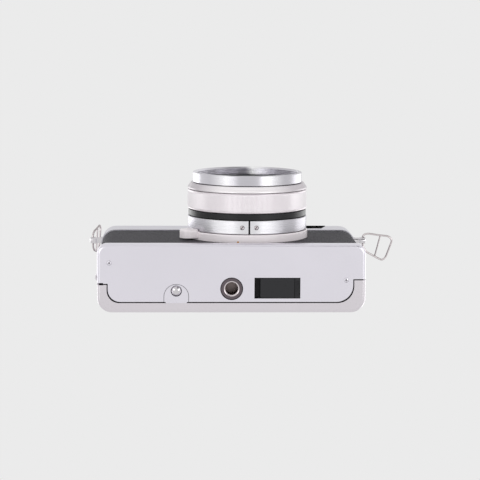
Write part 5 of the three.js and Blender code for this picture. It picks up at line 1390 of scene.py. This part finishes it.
def joined(name, pieces):
    """Joins several pieces into one mesh."""
    work_on(pieces[0])
    for piece in pieces:
        piece.select_set(True)
    bpy.ops.object.join()
    pieces[0].name = name
    return pieces[0]


FRAME_STEP = 9
NUMBER_RADIUS = 4.3
marks = []
for frame_number in range(0, 40, 2):
    angle = math.radians(-90 + frame_number * FRAME_STEP)
    out = Vector((math.cos(angle), math.sin(angle)))
    turn = Matrix.Rotation(angle + math.pi / 2, 4, "Z")
    spot = dial_place + out * NUMBER_RADIUS
    if frame_number % 4 == 0:
        marks.append(printed("number", str(frame_number), 1.5, turn, (*spot, high.z + 0.02)))
    else:
        tick = block("tick", (-0.09, -0.35, 0), (0.09, 0.35, 0.03))
        tick.data.transform(Matrix.Translation(Vector((*spot, high.z + 0.005)) * MM) @ turn)
        marks.append(tick)
hand_over(joined("counter_numbers", marks), "counter", white_ink, "black_plastic")
low, high = box_mm("counter_window")
window_place = ((low + high) / 2).xy
dome = [(0, low.z), (3.6, low.z), (3.6, low.z + 1.1)]
for step in range(1, 11):
    share = 1 - step / 10
    dome.append((3.6 * share, low.z + 1.1 + 0.4 * (1 - share * share)))
counter_pane = spun("counter_lens", dome, (*window_place, 0), "Z", 64)
hand_over(counter_pane, "root", clear_acrylic, "glass", "counter_window")

# %% [markdown]
# ## Hot shoe
# The shoe is one steel pressing whose sides are folded up and over, which leaves round outer bends.
# Four countersunk screws hold it, and a sprung brass contact sits in an insulating ring.

# %% Hot shoe
low, high = box_mm("hot_shoe")
middle = (low + high) / 2
shoe = block("hot_shoe_pressed", low, high)
round_off(shoe, lambda a, b: abs(a.y - b.y) > 5 and a.z > middle.z, 0.7, 5)
round_off(shoe, upright, 0.5, 4)
cut(shoe, block("channel", (low.x + 1, low.y + 1, low.z + 1), (high.x - 1, high.y + 10, low.z + 3)))
mouth = block("mouth", (low.x + 4.2, low.y - 5, low.z + 1.0), (high.x - 4.2, high.y + 11, high.z + 5))
cut(shoe, mouth)
cut(shoe, rod("hole", 1.9, middle.xy, 0, 100, sides=48))
screw_spots = [middle.xy + Vector((x, y)) for x in (-4.2, 4.2) for y in (-5.2, 5.2)]
for spot in screw_spots:
    countersink = lifted([(0, 0.2), (0.75, 0.2), (1.4, 1.2), (0, 1.2)], low.z)
    cut(shoe, spun("countersink", countersink, (*spot, 0), "Z", 32))
edge_break(shoe, 0.1)
hand_over(shoe, "root", brushed_steel, "dark_steel", "hot_shoe")
screws = []
for spot in screw_spots:
    head = lifted([(0, 0.3), (0.6, 0.3), (1.15, 0.88), (1.0, 0.96), (0, 1.0)], low.z)
    screw = spun("shoe_screw", head, (*spot, 0), "Z", 32)
    cross_slot(screw, spot, 0.75, 0.12, low.z + 0.7, low.z + 2)
    screws.append(screw)
hand_over(joined("hot_shoe_screws", screws), "root", bright_chrome, "dark_steel")
contact_profile = [(0, 0), (1.5, 0), (1.5, 0.75), (1.2, 0.8), (0.95, 0.8), (0.9, 1.0), (0.6, 1.1),
                   (0, 1.1)]
contact = spun("shoe_contact_turned", lifted(contact_profile, low.z), (*middle.xy, 0), "Z", 48)
hand_over(contact, "root", brass, "brass", "hot_shoe_contact")

# %% [markdown]
# ## Hinge and latch
# The door turns on a steel pin at its left end. Its two knuckles are rolled from the door's own
# sheet, and the middle knuckle belongs to a leaf screwed to the casting.

# %% Hinge
hinge_low, hinge_high = box_mm("hinge_pin")
hinge_place = ((hinge_low + hinge_high) / 2).xy
leaf_low, leaf_high = box_mm("hinge_leaf")


def knuckle(name, z0, z1):
    return spun(name, [
        (1.2, z0 + 0.12), (1.3, z0), (1.85, z0), (2.0, z0 + 0.15), (2.0, z1 - 0.15), (1.85, z1), (1.3, z1),
        (1.2, z1 - 0.12), (1.2, z0 + 0.12)], (*hinge_place, 0), "Z", 48)


knuckle_spans = ((hinge_low.z, leaf_low.z - 0.3), (leaf_high.z + 0.3, hinge_high.z))
knuckles = [knuckle("knuckle", z0, z1) for z0, z1 in knuckle_spans]
for piece, (z0, z1) in zip(knuckles, knuckle_spans):
    web = block("web", (-HALF, hinge_place.y + 1.9, z0), (-HALF + 1, SEAM_END_Y, z1))
    combine(piece, web, "UNION")
hand_over(joined("door_knuckles", knuckles), "door", chrome_door, "satin_chrome")
leaf = knuckle("hinge_leaf_rolled", leaf_low.z, leaf_high.z)
flat = block("flat", (leaf_high.x - 1.3, leaf_low.y, leaf_low.z), (leaf_high.x, hinge_place.y, leaf_high.z))
cut(flat, rod("bore", 1.25, hinge_place, 0, 100, sides=48))
combine(leaf, flat, "UNION")
edge_break(leaf, 0.1)
hand_over(leaf, "root", chrome_door, "dark_steel", "hinge_leaf")
pin = spun("hinge_pin_turned", [
    (0, hinge_low.z), (0.7, hinge_low.z), (0.9, hinge_low.z + 0.2), (0.9, hinge_high.z - 0.2),
    (0.7, hinge_high.z), (0, hinge_high.z)], (*hinge_place, 0), "Z", 40)
hand_over(pin, "root", dark_steel, "dark_steel", "hinge_pin")

# %% [markdown]
# ## Inside
# The castings, the film path and the parts behind the lens keep the solid model's own shapes. They
# are only seen with the door open or through the glass, so they need finishes rather than new forms.

# %% Finishes for the solids that stay
inside = {
    "chassis": cast_alloy, "take_up_housing": cast_alloy, "viewfinder_block": cast_alloy,
    "latch_bar": dark_steel, "plate_spring": dark_steel, "sprocket": dark_steel,
    "battery_chamber": shaded_black_plastic, "take_up_spool": shaded_black_plastic,
    "button_cell": bright_chrome, "rewind_shaft": bright_chrome,
    "battery_contact": brass, "rewind_bushing": brass,
    "lens_barrel": black_inside, "lens_cell": black_inside, "shutter_block": black_inside,
    "pressure_plate": black_inside,
}
for name, finish in inside.items():
    for i in range(max(1, len(node[name].data.materials))):
        if len(node[name].data.materials) == 0:
            node[name].data.materials.append(finish)
        else:
            node[name].data.materials[i] = finish
print(len(inside), "solids keep their shape")

# %% [markdown]
# ## Solid box
# The solid model's box, measured when it was loaded, is printed. The dressed model must
# stay inside the solid model's box.

# %% Print the solid box
bpy.context.view_layer.update()
print("solid box", cad_box)
